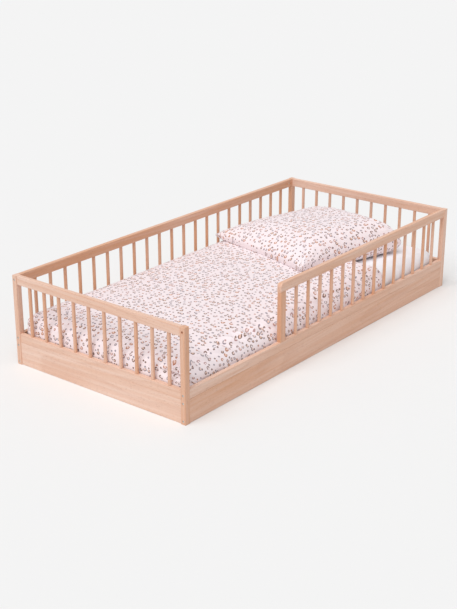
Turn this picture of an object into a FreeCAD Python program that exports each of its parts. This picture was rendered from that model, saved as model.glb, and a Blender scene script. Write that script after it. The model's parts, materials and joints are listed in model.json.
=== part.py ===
"""Toddler floor bed: a low beech bed frame with spindle panels, an entrance, slats and bedding.

Millimetres. The origin is on the floor under the middle of the bed. X runs along the bed from the
foot end (-X) to the head end (+X), the entrance side faces -Y and +Z is up.
"""
import FreeCAD, Part
import math
import os

from FreeCAD import Vector

# --- Overall size -------------------------------------------------------------------------------
bed_length = 1990.0
bed_width = 944.0
bed_height = 402.0

# --- Timber sections ----------------------------------------------------------------------------
post_depth = 28.0          # corner post, along X
post_width = 24.0          # corner post, along Y
rail_thickness = 20.0      # all rails and boards, and the guard's post
top_rail_height = 40.0
lower_rail_height = 40.0
board_height = 101.0
guard_post_width = 36.0    # along the bed
post_edge = 2.5            # rounded edges
rail_edge = 2.5
board_edge = 1.8           # small rounds that leave a fine groove between board and lower rail
guard_corner = 18.0        # rounded upper corner of the guard's free end

# --- Spindles -----------------------------------------------------------------------------------
spindle_diameter = 15.0
spindle_tenon_diameter = 10.0
spindle_tenon_length = 12.0
long_pitch = 88.0          # spacing along the two long panels
end_pitch = 85.0           # spacing along the two end panels
least_end_gap = 30.0       # smallest clear gap that a row leaves at its ends

# --- Entrance -----------------------------------------------------------------------------------
entrance_width = 583.0     # clear, from the foot post to the guard's free post

# --- Knock-down fittings ------------------------------------------------------------------------
bolt_diameter = 6.0
bolt_head_diameter = 9.6
bolt_head_height = 4.0
bolt_hex = 4.0             # across flats of the socket
bolt_hex_depth = 2.2
bolt_reach = 36.0          # into the rail or board, past the post
bolt_recess_depth = 5.5    # counterbore in the post
barrel_nut_diameter = 10.0
barrel_nut_length = 14.0
barrel_nut_setback = 24.0  # from the end of the rail
board_bolt_margin = 13.0   # from the board's upper and lower edges

# --- Dowels -------------------------------------------------------------------------------------
dowel_diameter = 8.0
dowel_depth = 12.0         # into each of the two pieces
rail_dowel_offset = 11.0   # above and below a rail's mid height
board_dowel_pitch = 20.5   # between the three dowels at a board's end
guard_dowel_offset = 9.0   # either side of the guard post's middle
seam_dowel_pitch = 420.0   # along the seam between a board and its lower rail

# --- Slatted base -------------------------------------------------------------------------------
slat_top = 80.0
slat_thickness = 18.0
slat_width = 70.0
slat_count = 14
slat_end_clearance = 3.0   # to each long board
slat_margin = 12.0         # from the end panels to the first and last slat
slat_edge = 3.0
batten_height = 30.0
batten_depth = 25.0
batten_end_clearance = 4.0
tape_width = 25.0
tape_thickness = 1.2
tape_inset = 170.0         # from each long board
screw_diameter = 4.0
screw_head_diameter = 8.0
screw_head_height = 3.0
batten_screw_length = 38.0
batten_screw_count = 7
slat_screw_length = 40.0

# --- Bedding ------------------------------------------------------------------------------------
mattress_side_gap = 10.0   # to each long panel, where the duvet is tucked
mattress_end_gap = 21.0    # to each end panel
mattress_thickness = 115.0
mattress_corner = 60.0     # seen from above
mattress_top_round = 55.0
mattress_base_round = 15.0
sheet_thickness = 1.2
sheet_hem_rise = 3.0       # of the elastic hem over the slats
duvet_length = 1465.0
duvet_thickness = 49.5     # at the crown, over the sheet
duvet_hem_height = 136.0   # tucked hem, over the floor
duvet_corner = 90.0
duvet_front_slope = 100.0  # width of the sloping front side
duvet_back_slope = 58.0
duvet_foot_drop = 50.0     # of the crown at the rounded foot edge
duvet_head_drop = 36.0     # of the crown at the edge under the pillow
duvet_fold_pitch = 48.0    # quarter of the spacing between the gathered folds
duvet_fold_depth = 9.0
duvet_fold_share = 0.4     # of a fold's depth that reaches the middle of the front slope
duvet_front_rise = 0.12    # shares of the duvet's rise over its hem: top of the front wall,
duvet_back_rise = 0.35     # top of the back wall,
duvet_front_fall = 0.2     # fall from the top to the front end of the crown,
duvet_back_fall = 0.07     # fall to the back end of the crown
duvet_crown_fall = 0.0145  # and fall to the crown's middle
duvet_front_bulge = (0.26, 0.58)  # shares of the front slope and of the rise
duvet_back_bulge = (0.3, 0.75)    # shares of the back slope and of the rise
duvet_foot_turns = (0, 18, 36, 54, 72)   # degrees round the foot's corner, one outline each
duvet_head_turns = (15, 30, 45, 60, 75)
pillow_side = 650.0        # at most: a narrow bed takes a smaller pillow
pillow_turn = -14.0        # degrees about +Z
pillow_head_gap = 27.0     # from its furthest corner to the head panel
pillow_back_gap = 4.0      # from its furthest corner to the back panel
pillow_crown = 84.0        # over the hem
pillow_hem_rise = 5.0      # of the hem over the duvet
pillow_hem_thickness = 10.0
pillow_draw_in = 20.0      # of each side, midway between the corners
pillow_edge_share = 0.05   # of the crown that is left at the seam
pillow_stations = 6        # outlines on each side of the middle

# --- Clearances ---------------------------------------------------------------------------------
bore_clearance = 0.05      # radial, of glued dowels and tenons, nuts and screws
bolt_hole_clearance = 0.5  # radial, of the bolts' through holes
bore_depth_clearance = 0.5
soft_clearance = 0.3       # between soft pieces and what they lie on or beside
tuck_clearance = 1.2       # between the tucked duvet and the frame

# --- Levels and faces worked out from the sizes above ------------------------------------------
half_length = bed_length / 2
half_width = bed_width / 2
lower_rail_top = board_height + lower_rail_height
top_rail_base = bed_height - top_rail_height
post_inner_x = half_length - post_depth
post_inner_y = half_width - post_width
end_panel_x = half_length - post_depth / 2
long_panel_y = half_width - post_width / 2
end_inner_x = end_panel_x - rail_thickness / 2
long_inner_y = long_panel_y - rail_thickness / 2
guard_start_x = -post_inner_x + entrance_width
batten_top = slat_top - slat_thickness
mattress_half_length = end_inner_x - mattress_end_gap
mattress_half_width = long_inner_y - mattress_side_gap
mattress_top = slat_top + mattress_thickness
sheet_top = mattress_top + soft_clearance + sheet_thickness
duvet_top = sheet_top + duvet_thickness
duvet_foot_x = -end_inner_x + tuck_clearance
duvet_head_x = duvet_foot_x + duvet_length
duvet_half_width = long_inner_y - tuck_clearance
pillow_spread = math.cos(math.radians(pillow_turn)) + abs(math.sin(math.radians(pillow_turn)))
pillow_fitted_side = min(pillow_side, 2 * (long_inner_y - pillow_back_gap) / pillow_spread)
pillow_centre_x = end_inner_x - pillow_head_gap - pillow_fitted_side * pillow_spread / 2
pillow_centre_y = long_inner_y - pillow_back_gap - pillow_fitted_side * pillow_spread / 2
bolt_levels = {
    "board_low": board_bolt_margin,
    "board_high": board_height - board_bolt_margin,
    "lower_rail": board_height + lower_rail_height / 2,
    "top_rail": bed_height - top_rail_height / 2,
}
END_SIGN = {"foot": -1, "head": 1}
SIDE_SIGN = {"front": -1, "back": 1}


def row_positions(half_clear, pitch, over_middle):
    """Places of a row of spindles that is centred on 0 between two posts."""
    reach = half_clear - least_end_gap - spindle_diameter / 2
    first = 0.0 if over_middle else pitch / 2
    steps = int((reach - first) / pitch)
    right = [first + pitch * step for step in range(steps + 1)]
    return sorted({-place for place in right} | set(right))


long_columns = row_positions(post_inner_x, long_pitch, over_middle=True)
end_columns = row_positions(post_inner_y, end_pitch, over_middle=False)
guard_post_inner_x = guard_start_x + guard_post_width
guard_columns = [
    x for x in long_columns if x - spindle_diameter / 2 - least_end_gap > guard_post_inner_x
]
guard_post_middle_x = guard_start_x + guard_post_width / 2


# --- Basic solids -------------------------------------------------------------------------------
def block(low, high):
    """Box between two corners."""
    size = [b - a for a, b in zip(low, high)]
    return Part.makeBox(*size, Vector(*low))


def rod(start, direction, diameter, length):
    """Cylinder from a point along a direction."""
    return Part.makeCylinder(diameter / 2, length, Vector(*start), Vector(*direction))


def edges_along(shape, axis):
    """Straight edges that run along one axis: 0 for X, 1 for Y, 2 for Z."""
    found = []
    for edge in shape.Edges:
        start, end = [vertex.Point for vertex in edge.Vertexes[:2]]
        run = [abs(b - a) for a, b in zip(start, end)]
        if run[axis] > 0.99 * sum(run):
            found.append(edge)
    return found


def timber(low, high, axis, edge_radius):
    """Length of squared timber with its four long edges rounded."""
    shape = block(low, high)
    return shape.makeFillet(edge_radius, edges_along(shape, axis))


def cut_all(shape, tools):
    """Shape with every tool cut away."""
    return shape.cut(tools) if tools else shape


# --- Dowels and their bores ---------------------------------------------------------------------
def dowel_at(joint_point, direction):
    """Dowel centred on a joint, with a small chamfer at both ends."""
    start = [p - dowel_depth * d for p, d in zip(joint_point, direction)]
    dowel = rod(start, direction, dowel_diameter, 2 * dowel_depth)
    rims = [edge for edge in dowel.Edges if isinstance(edge.Curve, Part.Circle)]
    return dowel.makeChamfer(0.8, rims)


def dowel_bore(joint_point, direction):
    """Bore for both halves of a dowel."""
    depth = dowel_depth + bore_depth_clearance
    start = [p - depth * d for p, d in zip(joint_point, direction)]
    return rod(start, direction, dowel_diameter + 2 * bore_clearance, 2 * depth)


def end_panel_dowels(end, piece):
    """Joint points between one end panel's rail or board and its two posts."""
    x = END_SIGN[end] * end_panel_x
    if piece == "board":
        middle = board_height / 2
        heights = [middle + board_dowel_pitch * step for step in (-1, 0, 1)]
    else:
        middle = bolt_levels[piece]
        heights = [middle - rail_dowel_offset, middle + rail_dowel_offset]
    return [(x, sign * post_inner_y, z) for sign in (-1, 1) for z in heights]


def seam_dowels_along(half_clear, place):
    """Joint points along the seam between a board and its lower rail."""
    steps = int((half_clear - least_end_gap) / seam_dowel_pitch)
    return [place(seam_dowel_pitch * step) for step in range(-steps, steps + 1)]


def end_seam_dowels(end):
    """Joint points in an end panel's seam."""
    x = END_SIGN[end] * end_panel_x
    return seam_dowels_along(post_inner_y, lambda y: (x, y, board_height))


def long_seam_dowels(side):
    """Joint points in a long panel's seam."""
    y = SIDE_SIGN[side] * long_panel_y
    return seam_dowels_along(post_inner_x - bolt_reach, lambda x: (x, y, board_height))


def guard_post_dowels(level):
    """Joint points at one end of the guard's post."""
    return [
        (guard_post_middle_x + step * guard_dowel_offset, -long_panel_y, level) for step in (-1, 1)
    ]


# --- Bolts, barrel nuts and their holes ---------------------------------------------------------
def bolted_joints():
    """Every bolted joint: end, side and level. The entrance leaves one post without a top rail."""
    joints = []
    for end in END_SIGN:
        for side in SIDE_SIGN:
            for level in bolt_levels:
                if (end, side, level) != ("foot", "front", "top_rail"):
                    joints.append((end, side, level))
    return joints


def post_bolt_hole(end, side, level):
    """Counterbored through hole along X in a corner post."""
    sign = END_SIGN[end]
    y = SIDE_SIGN[side] * long_panel_y
    z = bolt_levels[level]
    hole_diameter = bolt_diameter + 2 * bolt_hole_clearance
    through = rod((sign * half_length, y, z), (-sign, 0, 0), hole_diameter, post_depth)
    recess_diameter = bolt_head_diameter + 2 * bolt_hole_clearance
    recess = rod((sign * half_length, y, z), (-sign, 0, 0), recess_diameter, bolt_recess_depth)
    return through.fuse(recess)


def rail_bolt_holes(end, side, level):
    """Bolt hole in the end of a rail or board, and the blind cross bore for its barrel nut."""
    sign = END_SIGN[end]
    side_sign = SIDE_SIGN[side]
    y = side_sign * long_panel_y
    z = bolt_levels[level]
    hole_diameter = bolt_diameter + 2 * bolt_hole_clearance
    hole_length = bolt_reach + bore_depth_clearance
    hole = rod((sign * post_inner_x, y, z), (-sign, 0, 0), hole_diameter, hole_length)
    nut_x = sign * (post_inner_x - barrel_nut_setback)
    bore_depth = barrel_nut_length + 2 * bore_depth_clearance
    bore_diameter = barrel_nut_diameter + 2 * bore_clearance
    bore = rod((nut_x, side_sign * long_inner_y, z), (0, side_sign, 0), bore_diameter, bore_depth)
    return [hole, bore]


def connector_bolt(end, side, level):
    """Socket-head bolt, seated on the floor of the post's counterbore."""
    sign = END_SIGN[end]
    y = SIDE_SIGN[side] * long_panel_y
    z = bolt_levels[level]
    seat_x = sign * (half_length - bolt_recess_depth)
    shank_length = post_depth - bolt_recess_depth + bolt_reach
    head = rod((seat_x, y, z), (sign, 0, 0), bolt_head_diameter, bolt_head_height)
    shank = rod((seat_x, y, z), (-sign, 0, 0), bolt_diameter, shank_length)
    head_face_x = seat_x + sign * bolt_head_height
    across_corners = bolt_hex / math.cos(math.radians(30))
    corners = []
    for step in range(7):
        angle = math.radians(60 * step)
        offset_y = across_corners / 2 * math.cos(angle)
        offset_z = across_corners / 2 * math.sin(angle)
        corners.append(Vector(head_face_x, y + offset_y, z + offset_z))
    socket = Part.Face(Part.makePolygon(corners)).extrude(Vector(-sign * bolt_hex_depth, 0, 0))
    return head.fuse(shank).cut(socket).removeSplitter()


def barrel_nut(end, side, level):
    """Cross dowel of steel with the bolt's hole through it."""
    sign = END_SIGN[end]
    side_sign = SIDE_SIGN[side]
    z = bolt_levels[level]
    nut_x = sign * (post_inner_x - barrel_nut_setback)
    face_y = side_sign * (long_inner_y + bore_depth_clearance)
    body = rod((nut_x, face_y, z), (0, side_sign, 0), barrel_nut_diameter, barrel_nut_length)
    hole_y = side_sign * long_panel_y
    hole_start = (nut_x - barrel_nut_diameter, hole_y, z)
    hole_diameter = bolt_diameter + 2 * bore_clearance
    hole = rod(hole_start, (1, 0, 0), hole_diameter, 2 * barrel_nut_diameter)
    slot_width = 1.2
    slot_low = (nut_x - barrel_nut_diameter, min(face_y, face_y + side_sign), z - slot_width / 2)
    slot_high = (nut_x + barrel_nut_diameter, max(face_y, face_y + side_sign), z + slot_width / 2)
    return body.cut([hole, block(slot_low, slot_high)])


# --- Countersunk screws -------------------------------------------------------------------------
def screw(head_point, direction, length, radial_gap=0.0):
    """Countersunk wood screw, or with a radial gap the hole that it sits in."""
    head_radius = screw_head_diameter / 2 + radial_gap
    shank_radius = screw_diameter / 2 + radial_gap
    depth_gap = bore_depth_clearance if radial_gap else 0.0
    tip_length = 5.0
    start = Vector(*head_point)
    along = Vector(*direction)
    head = Part.makeCone(head_radius, shank_radius, screw_head_height, start, along)
    neck = start + along * screw_head_height
    shank_length = length - screw_head_height - tip_length
    shank = Part.makeCylinder(shank_radius, shank_length, neck, along)
    tip_radius = 0.4 + radial_gap
    tip = Part.makeCone(shank_radius, tip_radius, tip_length + depth_gap, neck + along * shank_length, along)
    return head.fuse([shank, tip]).removeSplitter()


def batten_screw_places(side):
    """Head points of the screws through one batten, and their direction."""
    side_sign = SIDE_SIGN[side]
    head_y = side_sign * (long_inner_y - batten_depth)
    z = batten_top - batten_height / 2
    reach = end_inner_x - batten_end_clearance - 2 * barrel_nut_setback
    step = 2 * reach / (batten_screw_count - 1)
    xs = [-reach + step * index for index in range(batten_screw_count)]
    return [((x, head_y, z), (0, side_sign, 0)) for x in xs]


def slat_screw_places():
    """Head points of the screws at both ends of the first and last slats."""
    places = []
    y = long_inner_y - batten_depth / 2
    for x in (slat_middles()[0], slat_middles()[-1]):
        for sign in (-1, 1):
            places.append(((x, sign * y, slat_top), (0, 0, -1)))
    return places


def slat_middles():
    """Middle of each slat along X."""
    reach = end_inner_x - slat_margin - slat_width / 2
    step = 2 * reach / (slat_count - 1)
    return [-reach + step * index for index in range(slat_count)]


# --- Panels -------------------------------------------------------------------------------------
def corner_post(end, side):
    """Full-height corner post with counterbored bolt holes and dowel bores."""
    sign_x = END_SIGN[end]
    sign_y = SIDE_SIGN[side]
    xs = sorted((sign_x * half_length, sign_x * post_inner_x))
    ys = sorted((sign_y * half_width, sign_y * post_inner_y))
    shape = timber((xs[0], ys[0], 0), (xs[1], ys[1], bed_height), 2, post_edge)
    top_rim = [edge for edge in shape.Edges if edge.BoundBox.ZMin > bed_height - 0.01]
    shape = shape.makeFillet(post_edge / 2, top_rim)
    holes = [post_bolt_hole(end, side, level) for level in bolt_levels]
    for piece in ("board", "lower_rail", "top_rail"):
        for point in end_panel_dowels(end, piece):
            if point[1] * sign_y > 0:
                holes.append(dowel_bore(point, (0, 1, 0)))
    return cut_all(shape, holes)


def spindle_bore(point, up):
    """Blind bore for a spindle's tenon."""
    diameter = spindle_tenon_diameter + 2 * bore_clearance
    return rod(point, (0, 0, up), diameter, spindle_tenon_length + bore_depth_clearance)


def spindle(x, y):
    """Round spindle with a turned tenon at each end."""
    length = top_rail_base - lower_rail_top
    body = rod((x, y, lower_rail_top), (0, 0, 1), spindle_diameter, length)
    tenon_base = lower_rail_top - spindle_tenon_length
    tenon_run = length + 2 * spindle_tenon_length
    tenon = rod((x, y, tenon_base), (0, 0, 1), spindle_tenon_diameter, tenon_run)
    return body.fuse(tenon).removeSplitter()


def end_panel_piece(end, level_low, level_high, edge_radius, tools):
    """Rail or board that runs along Y between the two posts of an end panel."""
    x = END_SIGN[end] * end_panel_x
    low = (x - rail_thickness / 2, -post_inner_y, level_low)
    high = (x + rail_thickness / 2, post_inner_y, level_high)
    return cut_all(timber(low, high, 1, edge_radius), tools)


def build_end_panel(end):
    """Rails, board and spindles of the foot or head panel."""
    x = END_SIGN[end] * end_panel_x
    bores = {piece: [] for piece in ("top_rail", "lower_rail", "board")}
    for piece in bores:
        bores[piece] += [dowel_bore(point, (0, 1, 0)) for point in end_panel_dowels(end, piece)]
    for point in end_seam_dowels(end):
        bores["board"].append(dowel_bore(point, (0, 0, 1)))
        bores["lower_rail"].append(dowel_bore(point, (0, 0, 1)))
    for y in end_columns:
        bores["top_rail"].append(spindle_bore((x, y, top_rail_base), 1))
        bores["lower_rail"].append(spindle_bore((x, y, lower_rail_top), -1))
    top_rail = end_panel_piece(end, top_rail_base, bed_height, rail_edge, bores["top_rail"])
    lower_rail = end_panel_piece(end, board_height, lower_rail_top, board_edge, bores["lower_rail"])
    board = end_panel_piece(end, 0, board_height, board_edge, bores["board"])
    return {
        f"{end}_top_rail": top_rail,
        f"{end}_lower_rail": lower_rail,
        f"{end}_board": board,
        f"{end}_spindles": Part.Compound([spindle(x, y) for y in end_columns]),
    }


def long_panel_piece(side, x_low, x_high, level_low, level_high, axis, edge_radius):
    """Rail, board or guard post in the plane of a long panel."""
    y = SIDE_SIGN[side] * long_panel_y
    low = (x_low, y - rail_thickness / 2, level_low)
    high = (x_high, y + rail_thickness / 2, level_high)
    return timber(low, high, axis, edge_radius)


def guard_post():
    """Post of the guard's free end, between the lower rail and the top rail, with its bores."""
    levels = (lower_rail_top, top_rail_base)
    shape = long_panel_piece("front", guard_start_x, guard_post_inner_x, *levels, 2, rail_edge)
    points = [point for level in levels for point in guard_post_dowels(level)]
    return cut_all(shape, [dowel_bore(point, (0, 0, 1)) for point in points])


def long_rail_bores(side, level, columns):
    """Bores in a long panel's top or lower rail: spindles, guard post, bolts and barrel nuts."""
    y = SIDE_SIGN[side] * long_panel_y
    face = top_rail_base if level == "top_rail" else lower_rail_top
    up = 1 if level == "top_rail" else -1
    tools = [spindle_bore((x, y, face), up) for x in columns]
    if side == "front":
        tools += [dowel_bore(point, (0, 0, 1)) for point in guard_post_dowels(face)]
    for joint in bolted_joints():
        if joint[1:] == (side, level):
            tools += rail_bolt_holes(*joint)
    return tools


def lower_rail_and_board(side, columns):
    """Lower rail and board of a long panel, joined along their seam."""
    lower_rail = long_panel_piece(
        side, -post_inner_x, post_inner_x, board_height, lower_rail_top, 0, board_edge
    )
    board = long_panel_piece(side, -post_inner_x, post_inner_x, 0, board_height, 0, board_edge)
    seam = [dowel_bore(point, (0, 0, 1)) for point in long_seam_dowels(side)]
    rail_tools = long_rail_bores(side, "lower_rail", columns) + seam
    board_tools = list(seam)
    for joint in bolted_joints():
        if joint[1] == side and joint[2].startswith("board"):
            board_tools += rail_bolt_holes(*joint)
    board_tools += [
        screw(point, direction, batten_screw_length, bore_clearance)
        for point, direction in batten_screw_places(side)
    ]
    return cut_all(lower_rail, rail_tools), cut_all(board, board_tools)


def build_back_panel():
    """Long panel on the closed side, with spindles over its whole length."""
    lower_rail, board = lower_rail_and_board("back", long_columns)
    top_rail = long_panel_piece(
        "back", -post_inner_x, post_inner_x, top_rail_base, bed_height, 0, rail_edge
    )
    top_rail = cut_all(top_rail, long_rail_bores("back", "top_rail", long_columns))
    return {
        "back_top_rail": top_rail,
        "back_lower_rail": lower_rail,
        "back_board": board,
        "back_spindles": Part.Compound([spindle(x, long_panel_y) for x in long_columns]),
    }


def build_front_panel():
    """Long panel on the entrance side, with the guard over its head half."""
    lower_rail, board = lower_rail_and_board("front", guard_columns)
    top_rail = long_panel_piece(
        "front", guard_start_x, post_inner_x, top_rail_base, bed_height, 0, rail_edge
    )
    corner_block_low = (guard_start_x, -long_panel_y - rail_thickness, bed_height - guard_corner)
    corner_block_high = (guard_start_x + guard_corner, -long_inner_y + rail_thickness, bed_height)
    corner_waste = block(corner_block_low, corner_block_high)
    corner_axis = (guard_start_x + guard_corner, corner_block_low[1], bed_height - guard_corner)
    corner_keep = rod(corner_axis, (0, 1, 0), 2 * guard_corner, 3 * rail_thickness)
    top_rail = top_rail.cut(corner_waste.cut(corner_keep))
    top_rail = cut_all(top_rail, long_rail_bores("front", "top_rail", guard_columns))
    return {
        "guard_top_rail": top_rail,
        "guard_post": guard_post(),
        "guard_spindles": Part.Compound([spindle(x, -long_panel_y) for x in guard_columns]),
        "front_lower_rail": lower_rail,
        "front_board": board,
    }


def build_dowels():
    """All dowels of the glued joints."""
    dowels = []
    for end in END_SIGN:
        for piece in ("board", "lower_rail", "top_rail"):
            dowels += [dowel_at(point, (0, 1, 0)) for point in end_panel_dowels(end, piece)]
        dowels += [dowel_at(point, (0, 0, 1)) for point in end_seam_dowels(end)]
    for side in SIDE_SIGN:
        dowels += [dowel_at(point, (0, 0, 1)) for point in long_seam_dowels(side)]
    for level in (lower_rail_top, top_rail_base):
        dowels += [dowel_at(point, (0, 0, 1)) for point in guard_post_dowels(level)]
    return Part.Compound(dowels)


# --- Slatted base -------------------------------------------------------------------------------
def slat_batten(side):
    """Batten that carries the slats, screwed to the inner face of a long board."""
    sign = SIDE_SIGN[side]
    ys = sorted((sign * long_inner_y, sign * (long_inner_y - batten_depth)))
    reach = end_inner_x - batten_end_clearance
    low = (-reach, ys[0], batten_top - batten_height)
    high = (reach, ys[1], batten_top)
    shape = timber(low, high, 0, board_edge)
    holes = [
        screw(point, direction, batten_screw_length, bore_clearance)
        for point, direction in batten_screw_places(side)
    ]
    holes += [
        screw(point, direction, slat_screw_length, bore_clearance)
        for point, direction in slat_screw_places()
        if point[1] * sign > 0
    ]
    return cut_all(shape, holes)


def slat(middle_x):
    """One slat with rounded long edges, bored for screws if it is the first or the last."""
    reach = long_inner_y - slat_end_clearance
    low = (middle_x - slat_width / 2, -reach, slat_top - slat_thickness)
    high = (middle_x + slat_width / 2, reach, slat_top)
    shape = timber(low, high, 1, slat_edge)
    holes = [
        screw(point, direction, slat_screw_length, bore_clearance)
        for point, direction in slat_screw_places()
        if abs(point[0] - middle_x) < slat_width / 2
    ]
    return cut_all(shape, holes)


def build_base():
    """Battens, slats, spacing tapes and screws."""
    pieces = {f"slat_batten_{side}": slat_batten(side) for side in SIDE_SIGN}
    middles = slat_middles()
    for index, middle_x in enumerate(middles):
        pieces[f"slat_{index + 1:02d}"] = slat(middle_x)
    tapes = []
    for sign in (-1, 1):
        tape_y = sign * (long_inner_y - tape_inset)
        low = (middles[0], tape_y - tape_width / 2, batten_top - tape_thickness)
        high = (middles[-1], tape_y + tape_width / 2, batten_top)
        tapes.append(block(low, high))
    pieces["slat_tapes"] = Part.Compound(tapes)
    batten_screws = []
    for side in SIDE_SIGN:
        for point, direction in batten_screw_places(side):
            batten_screws.append(screw(point, direction, batten_screw_length))
    pieces["batten_screws"] = Part.Compound(batten_screws)
    slat_screws = [screw(point, way, slat_screw_length) for point, way in slat_screw_places()]
    pieces["slat_screws"] = Part.Compound(slat_screws)
    return pieces


# --- Bedding ------------------------------------------------------------------------------------
def mattress_form(grow):
    """Mattress block with rounded corners and edges, grown evenly by some clearance."""
    half_x = mattress_half_length + grow
    half_y = mattress_half_width + grow
    low = (-half_x, -half_y, slat_top - grow)
    high = (half_x, half_y, mattress_top + grow)
    shape = block(low, high)
    shape = shape.makeFillet(mattress_corner + grow, edges_along(shape, 2))
    top_rim = [edge for edge in shape.Edges if edge.BoundBox.ZMin > high[2] - 0.01]
    shape = shape.makeFillet(mattress_top_round + grow, top_rim)
    base_rim = [edge for edge in shape.Edges if edge.BoundBox.ZMax < low[2] + 0.01]
    return shape.makeFillet(mattress_base_round, base_rim)


def fitted_sheet():
    """Thin skin over the mattress's top and sides, open below its elastic hem."""
    outer = mattress_form(soft_clearance + sheet_thickness)
    skin = outer.cut(mattress_form(soft_clearance))
    reach = half_length + half_width
    hem_level = slat_top + sheet_hem_rise
    return skin.cut(block((-reach, -reach, 0), (reach, reach, hem_level)))


def three_point_arc(start, middle, end):
    """Arc edge through three points."""
    return Part.Arc(Vector(*start), Vector(*middle), Vector(*end)).toShape()


def duvet_section(x, half_y, hem, top, fold):
    """Closed outline of the duvet across the bed, with a sloping front and a full back."""
    rise = top - hem
    front_shoulder = hem + duvet_front_rise * rise
    back_shoulder = hem + duvet_back_rise * rise
    front_y = -half_y + duvet_front_slope + fold
    back_y = half_y - duvet_back_slope
    front_z = top - duvet_front_fall * rise
    back_z = top - duvet_back_fall * rise
    crown_z = top - duvet_crown_fall * rise
    inwards, upwards = duvet_front_bulge
    front_bulge = (
        -half_y + inwards * duvet_front_slope + duvet_fold_share * fold,
        hem + upwards * rise - duvet_fold_share * fold,
    )
    inwards, upwards = duvet_back_bulge
    back_bulge = (half_y - inwards * duvet_back_slope, hem + upwards * rise)
    edges = [
        Part.makeLine(Vector(x, -half_y, hem), Vector(x, -half_y, front_shoulder)),
        three_point_arc((x, -half_y, front_shoulder), (x, *front_bulge), (x, front_y, front_z)),
        three_point_arc((x, front_y, front_z), (x, 0, crown_z), (x, back_y, back_z)),
        three_point_arc((x, back_y, back_z), (x, *back_bulge), (x, half_y, back_shoulder)),
        Part.makeLine(Vector(x, half_y, back_shoulder), Vector(x, half_y, hem)),
        Part.makeLine(Vector(x, half_y, hem), Vector(x, -half_y, hem)),
    ]
    return Part.Wire(edges)


def duvet():
    """Puffy duvet over the mattress, rounded at its foot, with shallow folds across its front."""
    sections = []
    for angle in duvet_foot_turns:
        turn = math.radians(angle)
        x = duvet_foot_x + duvet_corner * (1 - math.cos(turn))
        half_y = duvet_half_width - duvet_corner * (1 - math.sin(turn))
        top = duvet_top - duvet_foot_drop * (1 - math.sin(turn))
        sections.append(duvet_section(x, half_y, duvet_hem_height, top, 0.0))
    fold_start = duvet_foot_x + duvet_corner
    fold_count = int((duvet_head_x - duvet_corner - fold_start) / duvet_fold_pitch)
    for step in range(fold_count + 1):
        fold = duvet_fold_depth * math.sin(math.pi * step / 2)
        x = fold_start + duvet_fold_pitch * step
        sections.append(duvet_section(x, duvet_half_width, duvet_hem_height, duvet_top, fold))
    for angle in duvet_head_turns:
        turn = math.radians(angle)
        x = duvet_head_x - duvet_corner * (1 - math.sin(turn))
        top = duvet_top - duvet_head_drop * (1 - math.cos(turn))
        sections.append(duvet_section(x, duvet_half_width, duvet_hem_height, top, 0.0))
    outer = Part.makeLoft(sections, True, False)
    return outer.cut(mattress_form(soft_clearance + sheet_thickness + soft_clearance))


def pillow_section(s, thickness_share):
    """Closed outline of the pillow across its own Y axis at a place along its own X axis."""
    half = pillow_fitted_side / 2
    across = half - pillow_draw_in * (1 - (s / half) ** 2)
    hem_low = duvet_top + pillow_hem_rise
    hem_high = hem_low + pillow_hem_thickness
    top = hem_high + pillow_crown * thickness_share
    bottom = hem_low - (hem_low - sheet_top - soft_clearance) * thickness_share
    edges = [
        Part.makeLine(Vector(s, -across, hem_low), Vector(s, -across, hem_high)),
        three_point_arc((s, -across, hem_high), (s, 0, top), (s, across, hem_high)),
        Part.makeLine(Vector(s, across, hem_high), Vector(s, across, hem_low)),
        three_point_arc((s, across, hem_low), (s, 0, bottom), (s, -across, hem_low)),
    ]
    return Part.Wire(edges)


def pillow():
    """Square crowned pillow, turned a little, half on the duvet and half on the sheet."""
    half = pillow_fitted_side / 2
    sections = []
    for step in range(-pillow_stations, pillow_stations + 1):
        turn = math.pi / 2 * step / pillow_stations
        share = pillow_edge_share + (1 - pillow_edge_share) * math.cos(turn)
        sections.append(pillow_section(half * math.sin(turn), share))
    form = Part.makeLoft(sections, True, False)
    form.rotate(Vector(0, 0, 0), Vector(0, 0, 1), pillow_turn)
    form.translate(Vector(pillow_centre_x, pillow_centre_y, 0))
    reach = half_width
    on_duvet = duvet_top + soft_clearance
    on_sheet = sheet_top + soft_clearance
    duvet_space = block((-half_length, -reach, 0), (duvet_head_x + soft_clearance, reach, on_duvet))
    sheet_space = block((-half_length, -reach, 0), (half_length, reach, on_sheet))
    return form.cut([duvet_space, sheet_space])


def build_bedding():
    """Mattress, sheet, duvet and pillow."""
    return {
        "mattress": mattress_form(0.0),
        "fitted_sheet": fitted_sheet(),
        "duvet": duvet(),
        "pillow": pillow(),
    }


# --- Assembly -----------------------------------------------------------------------------------
def build_all():
    """Every node of the bed by name."""
    nodes = {}
    for end in END_SIGN:
        for side in SIDE_SIGN:
            nodes[f"{end}_{side}_post"] = corner_post(end, side)
        nodes.update(build_end_panel(end))
    nodes.update(build_back_panel())
    nodes.update(build_front_panel())
    nodes.update(build_base())
    nodes["joint_dowels"] = build_dowels()
    nodes["connector_bolts"] = Part.Compound([connector_bolt(*joint) for joint in bolted_joints()])
    nodes["barrel_nuts"] = Part.Compound([barrel_nut(*joint) for joint in bolted_joints()])
    nodes.update(build_bedding())
    return nodes


def main():
    """Checks each solid and writes one STEP file per node."""
    os.makedirs("parts", exist_ok=True)
    for name, shape in build_all().items():
        if not shape.isValid() or not shape.Solids:
            raise ValueError(f"{name} is not a valid solid")
        shape.exportStep(f"parts/{name}.step")
        box = shape.optimalBoundingBox()
        size = f"{box.XLength:.1f} x {box.YLength:.1f} x {box.ZLength:.1f}"
        print(f"{name}: {len(shape.Solids)} solids, {size} mm, {shape.Volume / 1000:.1f} cm3")


main()
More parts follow.
